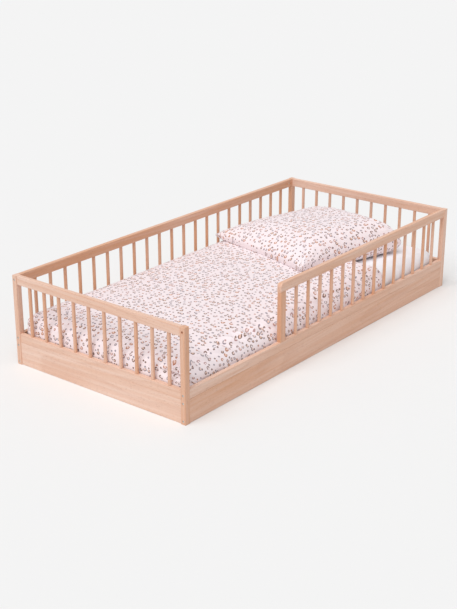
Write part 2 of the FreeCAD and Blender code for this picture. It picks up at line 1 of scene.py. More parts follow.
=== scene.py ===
"""Looks of a low toddler floor bed: beech frame, slatted base and made-up bedding.

Metres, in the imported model's frame. The origin is on the floor under the middle of the bed, +X runs
to the head end, the side with the entrance faces -Y and +Z is up.
"""

import json
import logging
import math
import zlib
from dataclasses import dataclass, field
from enum import Enum

import bpy
import numpy as np
from mathutils import Matrix, Vector, noise
from mathutils.bvhtree import BVHTree

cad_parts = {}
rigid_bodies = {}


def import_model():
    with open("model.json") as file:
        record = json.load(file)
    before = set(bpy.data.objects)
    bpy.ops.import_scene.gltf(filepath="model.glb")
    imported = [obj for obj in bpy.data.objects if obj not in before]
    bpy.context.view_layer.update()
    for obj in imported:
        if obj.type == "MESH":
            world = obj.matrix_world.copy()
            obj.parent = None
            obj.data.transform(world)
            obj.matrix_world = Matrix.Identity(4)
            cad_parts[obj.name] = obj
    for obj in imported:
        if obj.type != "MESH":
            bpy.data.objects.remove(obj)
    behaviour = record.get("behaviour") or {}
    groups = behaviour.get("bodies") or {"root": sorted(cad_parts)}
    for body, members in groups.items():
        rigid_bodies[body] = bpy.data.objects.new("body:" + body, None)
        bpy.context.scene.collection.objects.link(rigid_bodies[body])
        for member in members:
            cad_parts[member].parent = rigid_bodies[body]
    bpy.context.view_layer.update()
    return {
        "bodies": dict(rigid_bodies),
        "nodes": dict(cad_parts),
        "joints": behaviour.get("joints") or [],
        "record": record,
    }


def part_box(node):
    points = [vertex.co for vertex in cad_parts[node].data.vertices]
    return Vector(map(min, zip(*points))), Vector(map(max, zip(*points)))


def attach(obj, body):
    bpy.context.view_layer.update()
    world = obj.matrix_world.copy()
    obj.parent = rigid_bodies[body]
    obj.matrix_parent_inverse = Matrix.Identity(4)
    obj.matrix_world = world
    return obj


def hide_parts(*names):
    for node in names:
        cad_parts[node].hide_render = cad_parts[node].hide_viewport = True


Array = np.ndarray
Material = bpy.types.Material
Mesh = bpy.types.Mesh
Node = bpy.types.Node
Piece = bpy.types.Object
Socket = bpy.types.NodeSocket
Tree = bpy.types.NodeTree

MM = 0.001
QUARTER = math.pi / 2
TINY = 1e-9                            # keeps a division by a length from failing
FLAT = 1e-12                           # the same for turn-downs, which are 0 on the flat
PRINT_MAP = "print_layout"             # UV map with each point's place on the flat cloth
GRAIN_SHIFT = "grain_shift"            # attribute with each copy's own place in the tree
TURNED_RADIUS = "turned_radius"        # attribute with the radii of a turned chain
TURN_DOWN = "turn_down"                # attribute that keeps the duvet's turn-down
COPY_SHIFT = 0.6                       # metres that a copy's wood is shifted at most
WAVE_SCALE = 0.314                     # of a wave texture whose waves are one metre apart
SMOOTH_ANGLE = math.radians(35)
LOG = logging.getLogger("floor_bed")


# --- Helpers for meshes and node trees -----------------------------------------------------------
def linear(code: str) -> tuple:
    """Turns an sRGB colour to linear light.

    Args:
        code: The colour as "#rrggbb".

    Returns:
        Red, green, blue and an alpha of 1.
    """
    channels = [int(code[start : start + 2], 16) / 255 for start in (1, 3, 5)]
    lit = [c / 12.92 if c <= 0.04045 else ((c + 0.055) / 1.055) ** 2.4 for c in channels]
    return (*lit, 1.0)


def add_node(tree: Tree, kind: str, links: dict | None = None, **settings: object) -> Node:
    """Adds one node with its settings, values and links.

    Args:
        tree: The tree that gets the node.
        kind: The node's type.
        links: Input name or index to a value or to another node's output.
        settings: The node's own properties.

    Returns:
        The new node.
    """
    node = tree.nodes.new(kind)
    for name, value in settings.items():
        setattr(node, name, value)
    for key, value in (links or {}).items():
        if isinstance(value, Socket):
            tree.links.new(value, node.inputs[key])
        else:
            node.inputs[key].default_value = value
    return node


def number(tree: Tree, operation: str, *values: object) -> Socket:
    """Adds a math node.

    Args:
        tree: The tree that gets the node.
        operation: The node's operation.
        values: Its inputs in order, as numbers or sockets.

    Returns:
        The result.
    """
    return add_node(tree, "ShaderNodeMath", dict(enumerate(values)), operation=operation).outputs[0]


def vector(tree: Tree, operation: str, *values: object) -> Socket:
    """Adds a vector math node.

    Args:
        tree: The tree that gets the node.
        operation: The node's operation.
        values: Its inputs in order, as vectors or sockets.

    Returns:
        The result, which is a number for a dot product.
    """
    node = add_node(tree, "ShaderNodeVectorMath", dict(enumerate(values)), operation=operation)
    return node.outputs["Value" if operation == "DOT_PRODUCT" else "Vector"]


def remap(tree: Tree, value: Socket, source: tuple = (0, 1), target: tuple = (0, 1)) -> Socket:
    """Adds a node that maps one range to another and keeps to its ends.

    Args:
        tree: The tree that gets the node.
        value: What is mapped.
        source: Range that it comes from.
        target: Range that it goes to.

    Returns:
        The mapped value.
    """
    links = dict(enumerate((value, *source, *target)))
    return add_node(tree, "ShaderNodeMapRange", links).outputs[0]


def ramp(tree: Tree, value: Socket, stops: list, interpolation: str = "LINEAR") -> Socket:
    """Adds a colour ramp.

    Args:
        tree: The tree that gets the node.
        value: Where the ramp is read.
        stops: Places and hex colours.
        interpolation: How the colours meet.

    Returns:
        The colour.
    """
    node = add_node(tree, "ShaderNodeValToRGB", {"Fac": value})
    elements = node.color_ramp.elements
    while len(elements) < len(stops):
        elements.new(1.0)
    for element, (place, code) in zip(elements, stops):
        element.position = place
        element.color = linear(code)
    node.color_ramp.interpolation = interpolation
    return node.outputs[0]


def blend_colours(tree: Tree, share: object, first: object, second: object) -> Socket:
    """Adds a node that mixes two colours.

    Args:
        tree: The tree that gets the node.
        share: How much of the second colour.
        first: A hex colour or a socket.
        second: A hex colour or a socket.

    Returns:
        The mixed colour.
    """
    shades = [linear(c) if isinstance(c, str) else c for c in (first, second)]
    links = {0: share, 6: shades[0], 7: shades[1]}
    return add_node(tree, "ShaderNodeMix", links, data_type="RGBA").outputs[2]


def noise_at(
    tree: Tree, place: Socket, size: float, detail: float = 2.0, result: str = "Fac"
) -> Socket:
    """Adds a noise texture.

    Args:
        tree: The tree that gets the node.
        place: Where it is read.
        size: Width of its largest lumps in metres.
        detail: How many finer layers it has.
        result: "Fac" for a number, "Color" for three.

    Returns:
        The noise.
    """
    links = {"Vector": place, "Scale": 1 / size, "Detail": detail}
    return add_node(tree, "ShaderNodeTexNoise", links).outputs[result]


def waves_at(
    tree: Tree, place: Socket, spacing: float, distortion: float, **settings: str
) -> Socket:
    """Adds a wave texture.

    Args:
        tree: The tree that gets the node.
        place: Where it is read.
        spacing: Metres from wave to wave.
        distortion: How uneven the waves are.
        settings: Their kind and direction.

    Returns:
        The waves.
    """
    links = {"Vector": place, "Scale": WAVE_SCALE / spacing, "Distortion": distortion}
    return add_node(tree, "ShaderNodeTexWave", links, **settings).outputs["Fac"]


def object_place(
    tree: Tree, scale: tuple | None = None, place: Socket | None = None, **moved: tuple
) -> Socket:
    """Adds object coordinates, or takes given ones, and moves or stretches them.

    Args:
        tree: The tree that gets the nodes.
        scale: Stretch of the pattern along each axis, or none.
        place: Coordinates to start from instead of the object's.
        moved: Location and Rotation of the pattern.

    Returns:
        The coordinates.
    """
    place = place or add_node(tree, "ShaderNodeTexCoord").outputs["Object"]
    if scale is None and not moved:
        return place
    links = {"Vector": place, "Scale": scale or (1.0, 1.0, 1.0), **moved}
    return add_node(tree, "ShaderNodeMapping", links).outputs[0]


def new_material(name: str) -> tuple[Material, Tree]:
    """Makes an empty node material.

    Args:
        name: The material's name.

    Returns:
        The material and its node tree.
    """
    material = bpy.data.materials.new(name)
    material.use_nodes = True
    material.node_tree.nodes.clear()
    return material, material.node_tree


def surface(tree: Tree, relief: tuple | None = None, **inputs: object) -> None:
    """Ends a material in a principled surface.

    Args:
        tree: The material's tree.
        relief: Height, strength and depth in metres of a fine bump.
        inputs: The surface's inputs, with underscores for spaces.
    """
    links = {name.replace("_", " "): value for name, value in inputs.items()}
    if relief:
        bump = dict(zip(("Height", "Strength", "Distance"), relief))
        links["Normal"] = add_node(tree, "ShaderNodeBump", bump).outputs[0]
    shader = add_node(tree, "ShaderNodeBsdfPrincipled", links)
    add_node(tree, "ShaderNodeOutputMaterial", {"Surface": shader.outputs[0]})


def seed_of(name: str) -> int:
    """Gives a number that is always the same for a name.

    Args:
        name: Any words.

    Returns:
        A whole number below one thousand.
    """
    return zlib.crc32(name.encode()) % 1000


def mesh_object(name: str, points: Array, faces: list, layout: Array | None = None) -> Piece:
    """Makes a mesh object at the origin.

    Args:
        name: The object's name.
        points: One row per vertex.
        faces: Vertex numbers of each face. With none, the points are joined to a chain.
        layout: Flat cloth position of each vertex in metres, kept as a UV map.

    Returns:
        The linked object, shaded smooth.
    """
    mesh = bpy.data.meshes.new(name)
    chain = [] if faces else [(i, i + 1) for i in range(len(points) - 1)]
    mesh.from_pydata([tuple(map(float, point)) for point in points], chain, faces)
    if layout is not None:
        corners = np.zeros(len(mesh.loops), np.int32)
        mesh.loops.foreach_get("vertex_index", corners)
        uv = mesh.uv_layers.new(name=PRINT_MAP)
        uv.data.foreach_set("uv", layout[corners].astype(np.float32).ravel())
    mesh.polygons.foreach_set("use_smooth", [True] * len(mesh.polygons))
    mesh.validate()
    mesh.update()
    made = bpy.data.objects.new(name, mesh)
    bpy.context.scene.collection.objects.link(made)
    return made


def vertex_rows(mesh: Mesh, what: str = "co") -> Array:
    """Reads a mesh's vertices.

    Args:
        mesh: The mesh.
        what: "co" for their places, "normal" for their normals.

    Returns:
        One row per vertex.
    """
    flat = np.zeros(len(mesh.vertices) * 3, np.float32)
    mesh.vertices.foreach_get(what, flat)
    return flat.reshape(-1, 3).astype(float)


def set_places(mesh: Mesh, points: Array) -> None:
    """Moves a mesh's vertices.

    Args:
        mesh: The mesh.
        points: One row per vertex.
    """
    mesh.vertices.foreach_set("co", points.astype(np.float32).ravel())
    mesh.update()


def evaluated_mesh(piece: Piece) -> Mesh:
    """Gives a new mesh of a piece with its modifiers applied.

    Args:
        piece: The piece.

    Returns:
        The mesh.
    """
    graph = bpy.context.evaluated_depsgraph_get()
    return bpy.data.meshes.new_from_object(piece.evaluated_get(graph))


def grid_faces(rows: int, columns: int, start: int = 0, flip: bool = False) -> list:
    """Lists the quads of a grid of vertices.

    Args:
        rows: Vertices along the first direction.
        columns: Vertices along the second direction.
        start: Number of the grid's first vertex.
        flip: Whether to turn the faces over.

    Returns:
        Four vertex numbers per quad.
    """
    first = [start + i * columns + j for i in range(rows - 1) for j in range(columns - 1)]
    quads = [(a, a + columns, a + columns + 1, a + 1) for a in first]
    return [quad[::-1] for quad in quads] if flip else quads


def border_ring(rows: int, columns: int) -> list:
    """Lists the border vertices of a grid, once round.

    Args:
        rows: Vertices along the first direction.
        columns: Vertices along the second direction.

    Returns:
        Vertex numbers in order.
    """
    grid = np.arange(rows * columns).reshape(rows, columns)
    return np.concatenate([grid[0], grid[1:, -1], grid[-1, -2::-1], grid[-2:0:-1, 0]]).tolist()


def rounded_rectangle(half_x: float, half_y: float, corner: float, steps: int) -> list:
    """Draws a rounded rectangle.

    Args:
        half_x: Half its length.
        half_y: Half its width.
        corner: Its corner radius.
        steps: Straight pieces in each corner.

    Returns:
        Points in order, counter-clockwise.
    """
    points = []
    for quarter, (side_x, side_y) in enumerate(((1, 1), (-1, 1), (-1, -1), (1, -1))):
        for k in range(steps + 1):
            angle = QUARTER * (quarter + k / steps)
            x = side_x * (half_x - corner) + corner * math.cos(angle)
            y = side_y * (half_y - corner) + corner * math.sin(angle)
            points.append((x, y))
    return points


def loft(rings: list) -> tuple[Array, list]:
    """Joins rings of points to a closed solid.

    Args:
        rings: Rings of equally many points, each counter-clockwise as seen from the next one.

    Returns:
        The points and the faces.
    """
    count = len(rings[0])
    points = np.array([point for ring in rings for point in ring])
    faces = []
    for first in range(0, len(points) - count, count):
        for i in range(count):
            a, b = first + i, first + (i + 1) % count
            faces.append((a, b, b + count, a + count))
    faces.append(tuple(range(count - 1, -1, -1)))
    faces.append(tuple(range(len(points) - count, len(points))))
    return points, faces


def smooth_step(value: Array, low: float, high: float) -> Array:
    """Rises smoothly from 0 to 1.

    Args:
        value: Where to read the curve.
        low: Where it leaves 0.
        high: Where it reaches 1.

    Returns:
        The curve's height.
    """
    share = np.clip((value - low) / (high - low), 0.0, 1.0)
    return share * share * (3 - 2 * share)


def rise_and_fall(value: Array, limits: tuple) -> Array:
    """Rises smoothly from 0 to 1 and falls back to 0.

    Args:
        value: Where to read the curve.
        limits: Where it leaves 0, reaches 1, leaves 1 and reaches 0 again.

    Returns:
        The curve's height.
    """
    return smooth_step(value, *limits[:2]) * (1 - smooth_step(value, *limits[2:]))


def lumps(points: Array, size: float, seed: int) -> Array:
    """Reads smooth noise at points.

    Args:
        points: One row per place.
        size: Width of one lump in metres.
        seed: Which noise.

    Returns:
        A value from about -1 to 1 for each point.
    """
    shift = Vector((seed * 1.37, seed * 0.71, seed * 2.13))
    return np.array([noise.noise(Vector(p) / size + shift) for p in points])


# --- Finishes ------------------------------------------------------------------------------------
class Grain(Enum):
    """Direction of the wood's fibres in a piece."""

    ALONG_BED = "X"
    ACROSS_BED = "Y"
    UPRIGHT = "Z"


@dataclass(frozen=True)
class WoodFinish:
    """Planed solid wood under a thin clear matt lacquer.

    Sawn through its growth rings, the wood shows long soft lines on its faces and arcs on its end
    grain, with short brown flecks between them. All of it is one solid pattern, so the lines run
    round a piece's edges as they do in real timber.
    """

    name: str
    pale: str
    warm: str
    ring_line: str
    fleck: str
    ring_spacing: float = 11 * MM      # real rings are 2 to 4 mm; coarser, so that they show
    ring_strength: float = 0.2
    ring_unevenness: float = 0.5
    ring_tones: tuple = ((0.0, "#000000"), (0.45, "#303030"), (0.9, "#ffffff"), (1.0, "#000000"))
    streak_width: float = 11 * MM      # the widest of the fine lines along the fibres
    streak_stretch: float = 0.02       # pattern scale along the fibres
    streak_strength: float = 1.15
    fleck_width: float = 1.9 * MM      # real flecks are 0.5 mm; coarser, so that they show
    fleck_stretch: float = 0.14
    fleck_noise: tuple = (0.6, 0.72)   # where in the noise a fleck begins and is full
    fleck_strength: float = 0.35
    heart_near: float = 0.05           # metres from the piece to the heart of its tree
    heart_spread: float = 0.09
    tilt: float = 0.03                 # radians between the piece and its tree
    bend: float = 0.03                 # metres that the rings wander
    bend_size: float = 0.11
    slow_stretch: float = 0.22         # of bends and patches, along the fibres
    patch_size: float = 0.2
    patch_noise: tuple = (0.25, 0.75)
    patch_strength: float = 0.2
    relief: tuple = (0.18, 0.25 * MM)  # strength and depth
    roughness: float = 0.46
    roughness_from: float = -0.06      # between the fibres
    roughness_to: float = 0.1          # on them
    coat: float = 0.12
    coat_roughness: float = 0.35

    def material(
        self, piece: str, grain: Grain, tone_with_painted_shade: float, scattered: bool = False
    ) -> Material:
        """Makes the finish for one piece.

        Args:
            piece: The piece's name, which also picks where in the tree it was cut.
            grain: Direction of the fibres.
            tone_with_painted_shade: 0 for the palest boards, 1 for the warmest. For pieces seen on
                their shaded side it is set warmer, as painted shade.
            scattered: Whether the piece is many copies, each with its own shift attribute.

        Returns:
            The material.
        """
        material, tree = new_material(f"{self.name}_{piece}")
        axis = "XYZ".index(grain.value)

        def stretched(share: float) -> tuple:
            """Gives a pattern scale that is drawn out along the fibres."""
            return tuple(share if i == axis else 1.0 for i in range(3))

        random = np.random.default_rng(seed_of(piece))
        heart = random.uniform(-self.heart_spread, self.heart_spread, 3)
        heart += np.sign(random.uniform(-1, 1, 3)) * self.heart_near
        heart[axis] = random.uniform(-1, 1)
        place = object_place(tree)
        if scattered:
            shift = add_node(tree, "ShaderNodeAttribute", attribute_name=GRAIN_SHIFT)
            place = vector(tree, "ADD", place, shift.outputs["Vector"])
        tilt = random.uniform(-self.tilt, self.tilt, 3)
        log = object_place(tree, place=place, Location=heart, Rotation=tilt)
        slow = object_place(tree, stretched(self.slow_stretch), log)
        wander = noise_at(tree, slow, self.bend_size, result="Color")
        bent = vector(tree, "MULTIPLY_ADD", wander, (self.bend,) * 3, log)
        kind = {"wave_type": "RINGS", "rings_direction": grain.value, "wave_profile": "SAW"}
        rings = waves_at(tree, bent, self.ring_spacing, self.ring_unevenness, **kind)
        late_wood = ramp(tree, rings, self.ring_tones)
        along = object_place(tree, stretched(self.streak_stretch), log)
        fibres = noise_at(tree, along, self.streak_width, 5.0)
        short = object_place(tree, stretched(self.fleck_stretch), log)
        flecks = noise_at(tree, short, self.fleck_width, 1.0)
        patches = noise_at(tree, slow, self.patch_size, 1.0)
        middle = tone_with_painted_shade - self.streak_strength / 2
        reach = (middle - self.patch_strength, middle + self.patch_strength)
        tone = remap(tree, patches, self.patch_noise, reach)
        body = number(tree, "MULTIPLY_ADD", fibres, self.streak_strength, tone)
        colour = blend_colours(tree, remap(tree, body), self.pale, self.warm)
        line_share = number(tree, "MULTIPLY", late_wood, self.ring_strength)
        colour = blend_colours(tree, line_share, colour, self.ring_line)
        fleck_share = remap(tree, flecks, self.fleck_noise, (0.0, self.fleck_strength))
        colour = blend_colours(tree, fleck_share, colour, self.fleck)
        gloss = (self.roughness + self.roughness_from, self.roughness + self.roughness_to)
        surface(
            tree,
            (fibres, *self.relief),
            Base_Color=colour,
            Roughness=remap(tree, fibres, target=gloss),
            Coat_Weight=self.coat,
            Coat_Roughness=self.coat_roughness,
        )
        return material


@dataclass(frozen=True)
class PrintedCotton:
    """Plain-weave cotton printed with small spots and broken rings, seen as soft and matt."""

    name: str = "printed_cotton"
    ground: str = "#F1E4E7"
    inks: tuple = ("#74564C", "#8C7F88", "#B07354", "#B08A88", "#83695F", "#9B939C")
    centres: str = "#E6BFAC"
    cell: float = 23 * MM              # spacing of the motifs
    scatter: float = 0.78              # 0 for rows, 1 for chance
    least_radius: float = 0.09         # shares of the cell
    full_radius: float = 0.27
    radius_chance: tuple = (0.3, 0.7)  # below is the least radius, above is the full one
    ring_from: float = 0.16            # radius from which a motif is an open ring
    line_width: float = 0.085
    line_blur: float = 0.2             # share of the line's width
    gap_from: float = 0.76             # cosine at which a ring's gap begins
    gap_blur: float = 0.12
    wobble: float = 5 * MM
    wobble_size: float = 7 * MM
    thread: float = 1.1 * MM           # real threads are 0.25 mm; coarser, so that they show
    relief: tuple = (0.12, 0.2 * MM)   # strength and depth
    roughness: float = 0.88
    sheen: float = 0.15
    shine: float = 0.3

    def material(self) -> Material:
        """Makes the cloth's material, which follows the flat layout of the cloth.

        Returns:
            The material.
        """
        material, tree = new_material(self.name)
        layout = add_node(tree, "ShaderNodeUVMap", uv_map=PRINT_MAP).outputs[0]
        hand = noise_at(tree, layout, self.wobble_size, 1.0, "Color")
        drawn = vector(tree, "MULTIPLY_ADD", hand, (self.wobble, self.wobble, 0.0), layout)
        cells = vector(tree, "MULTIPLY", drawn, (1 / self.cell,) * 3)
        links = {"Vector": cells, "Scale": 1.0, "Randomness": self.scatter}
        motif = add_node(tree, "ShaderNodeTexVoronoi", links, voronoi_dimensions="2D").outputs
        chance = add_node(tree, "ShaderNodeSeparateColor", {0: motif["Color"]}).outputs
        radii = (self.least_radius, self.full_radius)
        radius = remap(tree, chance["Red"], self.radius_chance, radii)
        is_ring = number(tree, "GREATER_THAN", radius, self.ring_from)
        beside = number(tree, "ABSOLUTE", number(tree, "SUBTRACT", motif["Distance"], radius))
        blurred = (self.line_width * (1 - self.line_blur), self.line_width * (1 + self.line_blur))
        line = remap(tree, beside, blurred, (1.0, 0.0))
        away = vector(tree, "NORMALIZE", vector(tree, "SUBTRACT", cells, motif["Position"]))
        turn = vector(tree, "MULTIPLY_ADD", motif["Color"], (1, 1, 0), (-0.5, -0.5, 0))
        towards_gap = vector(tree, "DOT_PRODUCT", away, vector(tree, "NORMALIZE", turn))
        gap_edge = (self.gap_from, self.gap_from + self.gap_blur)
        closed = remap(tree, towards_gap, gap_edge, (1.0, 0.0))
        kept = number(tree, "MAXIMUM", closed, number(tree, "SUBTRACT", 1.0, is_ring))
        inked = number(tree, "MULTIPLY", line, kept)
        within = number(tree, "LESS_THAN", motif["Distance"], radius)
        filled = number(tree, "MULTIPLY", within, is_ring)
        tinted = number(tree, "MULTIPLY", filled, chance["Green"])
        stops = [(i / len(self.inks), code) for i, code in enumerate(self.inks)]
        ink = ramp(tree, chance["Blue"], stops, "CONSTANT")
        colour = blend_colours(tree, tinted, self.ground, self.centres)
        links = {"Vector": layout, "Scale": 1 / self.thread}
        weave = add_node(tree, "ShaderNodeTexChecker", links).outputs["Fac"]
        surface(
            tree,
            (weave, *self.relief),
            Base_Color=blend_colours(tree, inked, colour, ink),
            Roughness=self.roughness,
            Sheen_Weight=self.sheen,
            Sheen_Roughness=0.5,
            Specular_IOR_Level=self.shine,
        )
        return material


@dataclass(frozen=True)
class WovenFinish:
    """Plain or ribbed woven cloth in one colour: cotton sheet, mattress ticking or webbing."""

    name: str
    colour: str
    shade: str
    thread: float                      # spacing of the threads that show
    relief: float                      # height of a thread
    relief_strength: float = 0.3
    unevenness: float = 0.4
    cloud_size: float = 70 * MM
    roughness: float = 0.85
    sheen: float = 0.12
    ribbed: bool = False

    def material(self) -> Material:
        """Makes the cloth's material.

        Returns:
            The material.
        """
        material, tree = new_material(self.name)
        place = object_place(tree)
        clouds = noise_at(tree, place, self.cloud_size)
        bands = "X" if self.ribbed else "DIAGONAL"
        threads = waves_at(tree, place, self.thread, self.unevenness, bands_direction=bands)
        share = number(tree, "MULTIPLY", clouds, threads)
        surface(
            tree,
            (threads, self.relief_strength, self.relief),
            Base_Color=blend_colours(tree, share, self.colour, self.shade),
            Roughness=self.roughness,
            Sheen_Weight=self.sheen,
            Sheen_Roughness=0.5,
        )
        return material


@dataclass(frozen=True)
class ZincPlate:
    """Bright zinc-plated steel: a pale grey metal, slightly cloudy from its plating bath."""

    name: str = "zinc_plated_steel"
    bright: str = "#E3E2DE"
    cloudy: str = "#C6C6C4"
    cloud_size: float = 2.5 * MM
    roughness: tuple = (0.3, 0.5)      # bright and cloudy

    def material(self) -> Material:
        """Makes the metal's material.

        Returns:
            The material.
        """
        material, tree = new_material(self.name)
        clouds = noise_at(tree, object_place(tree), self.cloud_size, 3.0)
        surface(
            tree,
            Base_Color=blend_colours(tree, clouds, self.bright, self.cloudy),
            Metallic=1.0,
            Roughness=remap(tree, clouds, target=self.roughness),
        )
        return material


BEECH = WoodFinish("lacquered_beech", "#E9CBBB", "#D79F7A", "#C28868", "#A66F4E")
PINE = WoodFinish(
    "planed_pine", "#EBD3AC", "#DDB983", "#C3925A", "#B8894F",
    ring_spacing=7 * MM, ring_strength=0.5, roughness=0.6,
)
PERCALE = WovenFinish("white_cotton_percale", "#F4F3F7", "#E9E8EF", 1.2 * MM, 0.15 * MM)
TICKING = WovenFinish("mattress_ticking", "#EFEFEC", "#D8D9D6", 4 * MM, 0.4 * MM)
WEBBING = WovenFinish("polyester_webbing", "#E4E2DA", "#C4C2B8", 1.6 * MM, 0.5 * MM, ribbed=True)
SEWING_THREAD = WovenFinish("sewing_thread", "#F3E4E2", "#E2CFCC", 0.5 * MM, 0.05 * MM)


# --- Geometry Nodes -------------------------------------------------------------------------------
@dataclass
class NodeRecipe:
    """A Geometry Nodes tree with named inputs, used on an object and turned to a plain mesh."""

    name: str
    tree: Tree = field(init=False)

    def __post_init__(self) -> None:
        """Starts the tree with its geometry in and out."""
        self.tree = bpy.data.node_groups.new(self.name, "GeometryNodeTree")
        for way in ("INPUT", "OUTPUT"):
            self.tree.interface.new_socket(
                "Geometry", in_out=way, socket_type="NodeSocketGeometry"
            )

    def add_inputs(self, **kinds: str) -> bpy.types.bpy_prop_collection:
        """Adds named inputs.

        Args:
            kinds: Input name to the kind of its socket.

        Returns:
            The sockets that give the inputs, with the geometry first.
        """
        for name, kind in kinds.items():
            self.tree.interface.new_socket(name, in_out="INPUT", socket_type=f"NodeSocket{kind}")
        return self.tree.nodes.new("NodeGroupInput").outputs

    def finish(self, geometry: Socket, material: Socket) -> None:
        """Ends the tree in real geometry with its material.

        Args:
            geometry: What the tree has made.
            material: The material input.
        """
        real = add_node(self.tree, "GeometryNodeRealizeInstances", {0: geometry}).outputs[0]
        links = {"Geometry": real, "Material": material}
        dressed = add_node(self.tree, "GeometryNodeSetMaterial", links)
        add_node(self.tree, "NodeGroupOutput", {0: dressed.outputs[0]})

    def grow(self, seedling: Piece, **values: object) -> None:
        """Runs the tree on an object and keeps the result as its plain mesh.

        Args:
            seedling: The object whose mesh goes in, and which gets the grown mesh.
            values: Input name to value.
        """
        modifier = seedling.modifiers.new(self.name, "NODES")
        modifier.node_group = self.tree
        for item in self.tree.interface.items_tree:
            if item.in_out == "INPUT" and item.name in values:
                modifier[item.identifier] = values[item.name]
        grown = evaluated_mesh(seedling)
        seedling.modifiers.remove(modifier)
        seedling.data = grown
        grown.polygons.foreach_set("use_smooth", [True] * len(grown.polygons))
        grown.set_sharp_from_angle(angle=SMOOTH_ANGLE)


ROW_INPUTS = {"Count": "Int", "Start": "Vector", "Step": "Vector", "Seed": "Int"}


def finish_row(recipe: NodeRecipe, given: bpy.types.bpy_prop_collection, solid: Socket) -> None:
    """Ends a recipe with copies of a solid along a line, each with its own shift of the wood.

    Args:
        recipe: The recipe to end.
        given: Its input sockets, with ROW_INPUTS and Material among them.
        solid: The geometry that is repeated.
    """
    tree = recipe.tree
    links = {"Count": given["Count"], "Start Location": given["Start"], "Offset": given["Step"]}
    places = add_node(tree, "GeometryNodeMeshLine", links, mode="OFFSET").outputs[0]
    links = {"Points": places, "Instance": solid}
    copies = add_node(tree, "GeometryNodeInstanceOnPoints", links).outputs[0]
    links = {0: (-COPY_SHIFT,) * 3, 1: (COPY_SHIFT,) * 3, "Seed": given["Seed"]}
    shift = add_node(tree, "FunctionNodeRandomValue", links, data_type="FLOAT_VECTOR").outputs[0]
    links = {"Geometry": copies, "Name": GRAIN_SHIFT, 3: shift}
    kind = {"data_type": "FLOAT_VECTOR", "domain": "INSTANCE"}
    marked = add_node(tree, "GeometryNodeStoreNamedAttribute", links, **kind)
    recipe.finish(marked.outputs[0], given["Material"])


def copies_in_a_row() -> NodeRecipe:
    """Builds the recipe that repeats a mesh along a line.

    Returns:
        A recipe with ROW_INPUTS and Material.
    """
    recipe = NodeRecipe("copies_in_a_row")
    given = recipe.add_inputs(**ROW_INPUTS, Material="Material")
    finish_row(recipe, given, given[0])
    return recipe


def turned_rods() -> NodeRecipe:
    """Builds the recipe that turns a chain of points with radii into round rods, in a row.

    Returns:
        A recipe with Sides, ROW_INPUTS and Material.
    """
    recipe = NodeRecipe("turned_rods")
    given = recipe.add_inputs(Sides="Int", **ROW_INPUTS, Material="Material")
    tree = recipe.tree
    chain = add_node(tree, "GeometryNodeMeshToCurve", {0: given[0]}).outputs[0]
    links = {"Name": TURNED_RADIUS}
    radius = add_node(tree, "GeometryNodeInputNamedAttribute", links, data_type="FLOAT")
    links = {"Resolution": given["Sides"], "Radius": 1.0}
    outline = add_node(tree, "GeometryNodeCurvePrimitiveCircle", links, mode="RADIUS")
    links = {0: chain, 1: outline.outputs[0], "Scale": radius.outputs[0], "Fill Caps": True}
    solid = add_node(tree, "GeometryNodeCurveToMesh", links)
    finish_row(recipe, given, solid.outputs[0])
    return recipe


def stitches_along() -> NodeRecipe:
    """Builds the recipe that sews short stitches along a chain of points.

    Returns:
        A recipe with Pitch, Length, Radius, Sides and Material.
    """
    recipe = NodeRecipe("stitches_along")
    given = recipe.add_inputs(
        Pitch="Float", Length="Float", Radius="Float", Sides="Int", Material="Material"
    )
    tree = recipe.tree
    chain = add_node(tree, "GeometryNodeMeshToCurve", {0: given[0]}).outputs[0]
    links = {"Curve": chain, "Length": given["Pitch"]}
    places = add_node(tree, "GeometryNodeResampleCurve", links, mode="LENGTH").outputs[0]
    links = {"Vector": add_node(tree, "GeometryNodeInputTangent").outputs[0]}
    turned = add_node(tree, "FunctionNodeAlignRotationToVector", links, axis="Z").outputs[0]
    links = {"Vertices": given["Sides"], "Radius": given["Radius"], "Depth": given["Length"]}
    thread = add_node(tree, "GeometryNodeMeshCylinder", links).outputs[0]
    links = {"Points": places, "Instance": thread, "Rotation": turned}
    stitches = add_node(tree, "GeometryNodeInstanceOnPoints", links)
    recipe.finish(stitches.outputs[0], given["Material"])
    return recipe


# --- The frame ------------------------------------------------------------------------------------
@dataclass
class TimberFrame:
    """Posts, rails and boards, which keep their CAD shape and get their own timber each, set warmer
    where a piece is seen on its shaded side, as painted shade.
    """

    nodes: dict
    timber_words: tuple = ("post", "rail", "board")
    upright_word: str = "post"
    across_starts: tuple = ("foot_", "head_")
    # Partly each piece's own tone and partly painted shade: the front, guard and back pieces, seen on
    # their side away from the key light, are set warmer and darker than the foot ones.
    tones_with_painted_shade: dict = field(
        default_factory=lambda: {
            "foot_front_post": 0.75,
            "foot_lower_rail": 0.4,
            "foot_": 0.25,
            "head_back_post": 0.75,
            "head_": 0.45,
            "front_lower_rail": 0.45,
            "front_": 0.6,
            "guard_post": 0.95,
            "guard_": 0.55,
            "back_": 0.8,
        }
    )

    def grain_of(self, name: str) -> Grain:
        """Tells which way a piece's fibres run.

        Args:
            name: The CAD node's name.

        Returns:
            The direction.
        """
        if self.upright_word in name:
            return Grain.UPRIGHT
        return Grain.ACROSS_BED if name.startswith(self.across_starts) else Grain.ALONG_BED

    def dress(self) -> None:
        """Gives each timber piece its beech, as warm as the first start of its name says; part of
        that warmth is painted shade.
        """
        for name, node in self.nodes.items():
            if any(word in name for word in self.timber_words):
                tone_with_painted_shade = next(w for start, w in self.tones_with_painted_shade.items() if name.startswith(start))
                node.data.materials[0] = BEECH.material(name, self.grain_of(name), tone_with_painted_shade)
                LOG.info("timber %s: %s", name, self.grain_of(name).name)


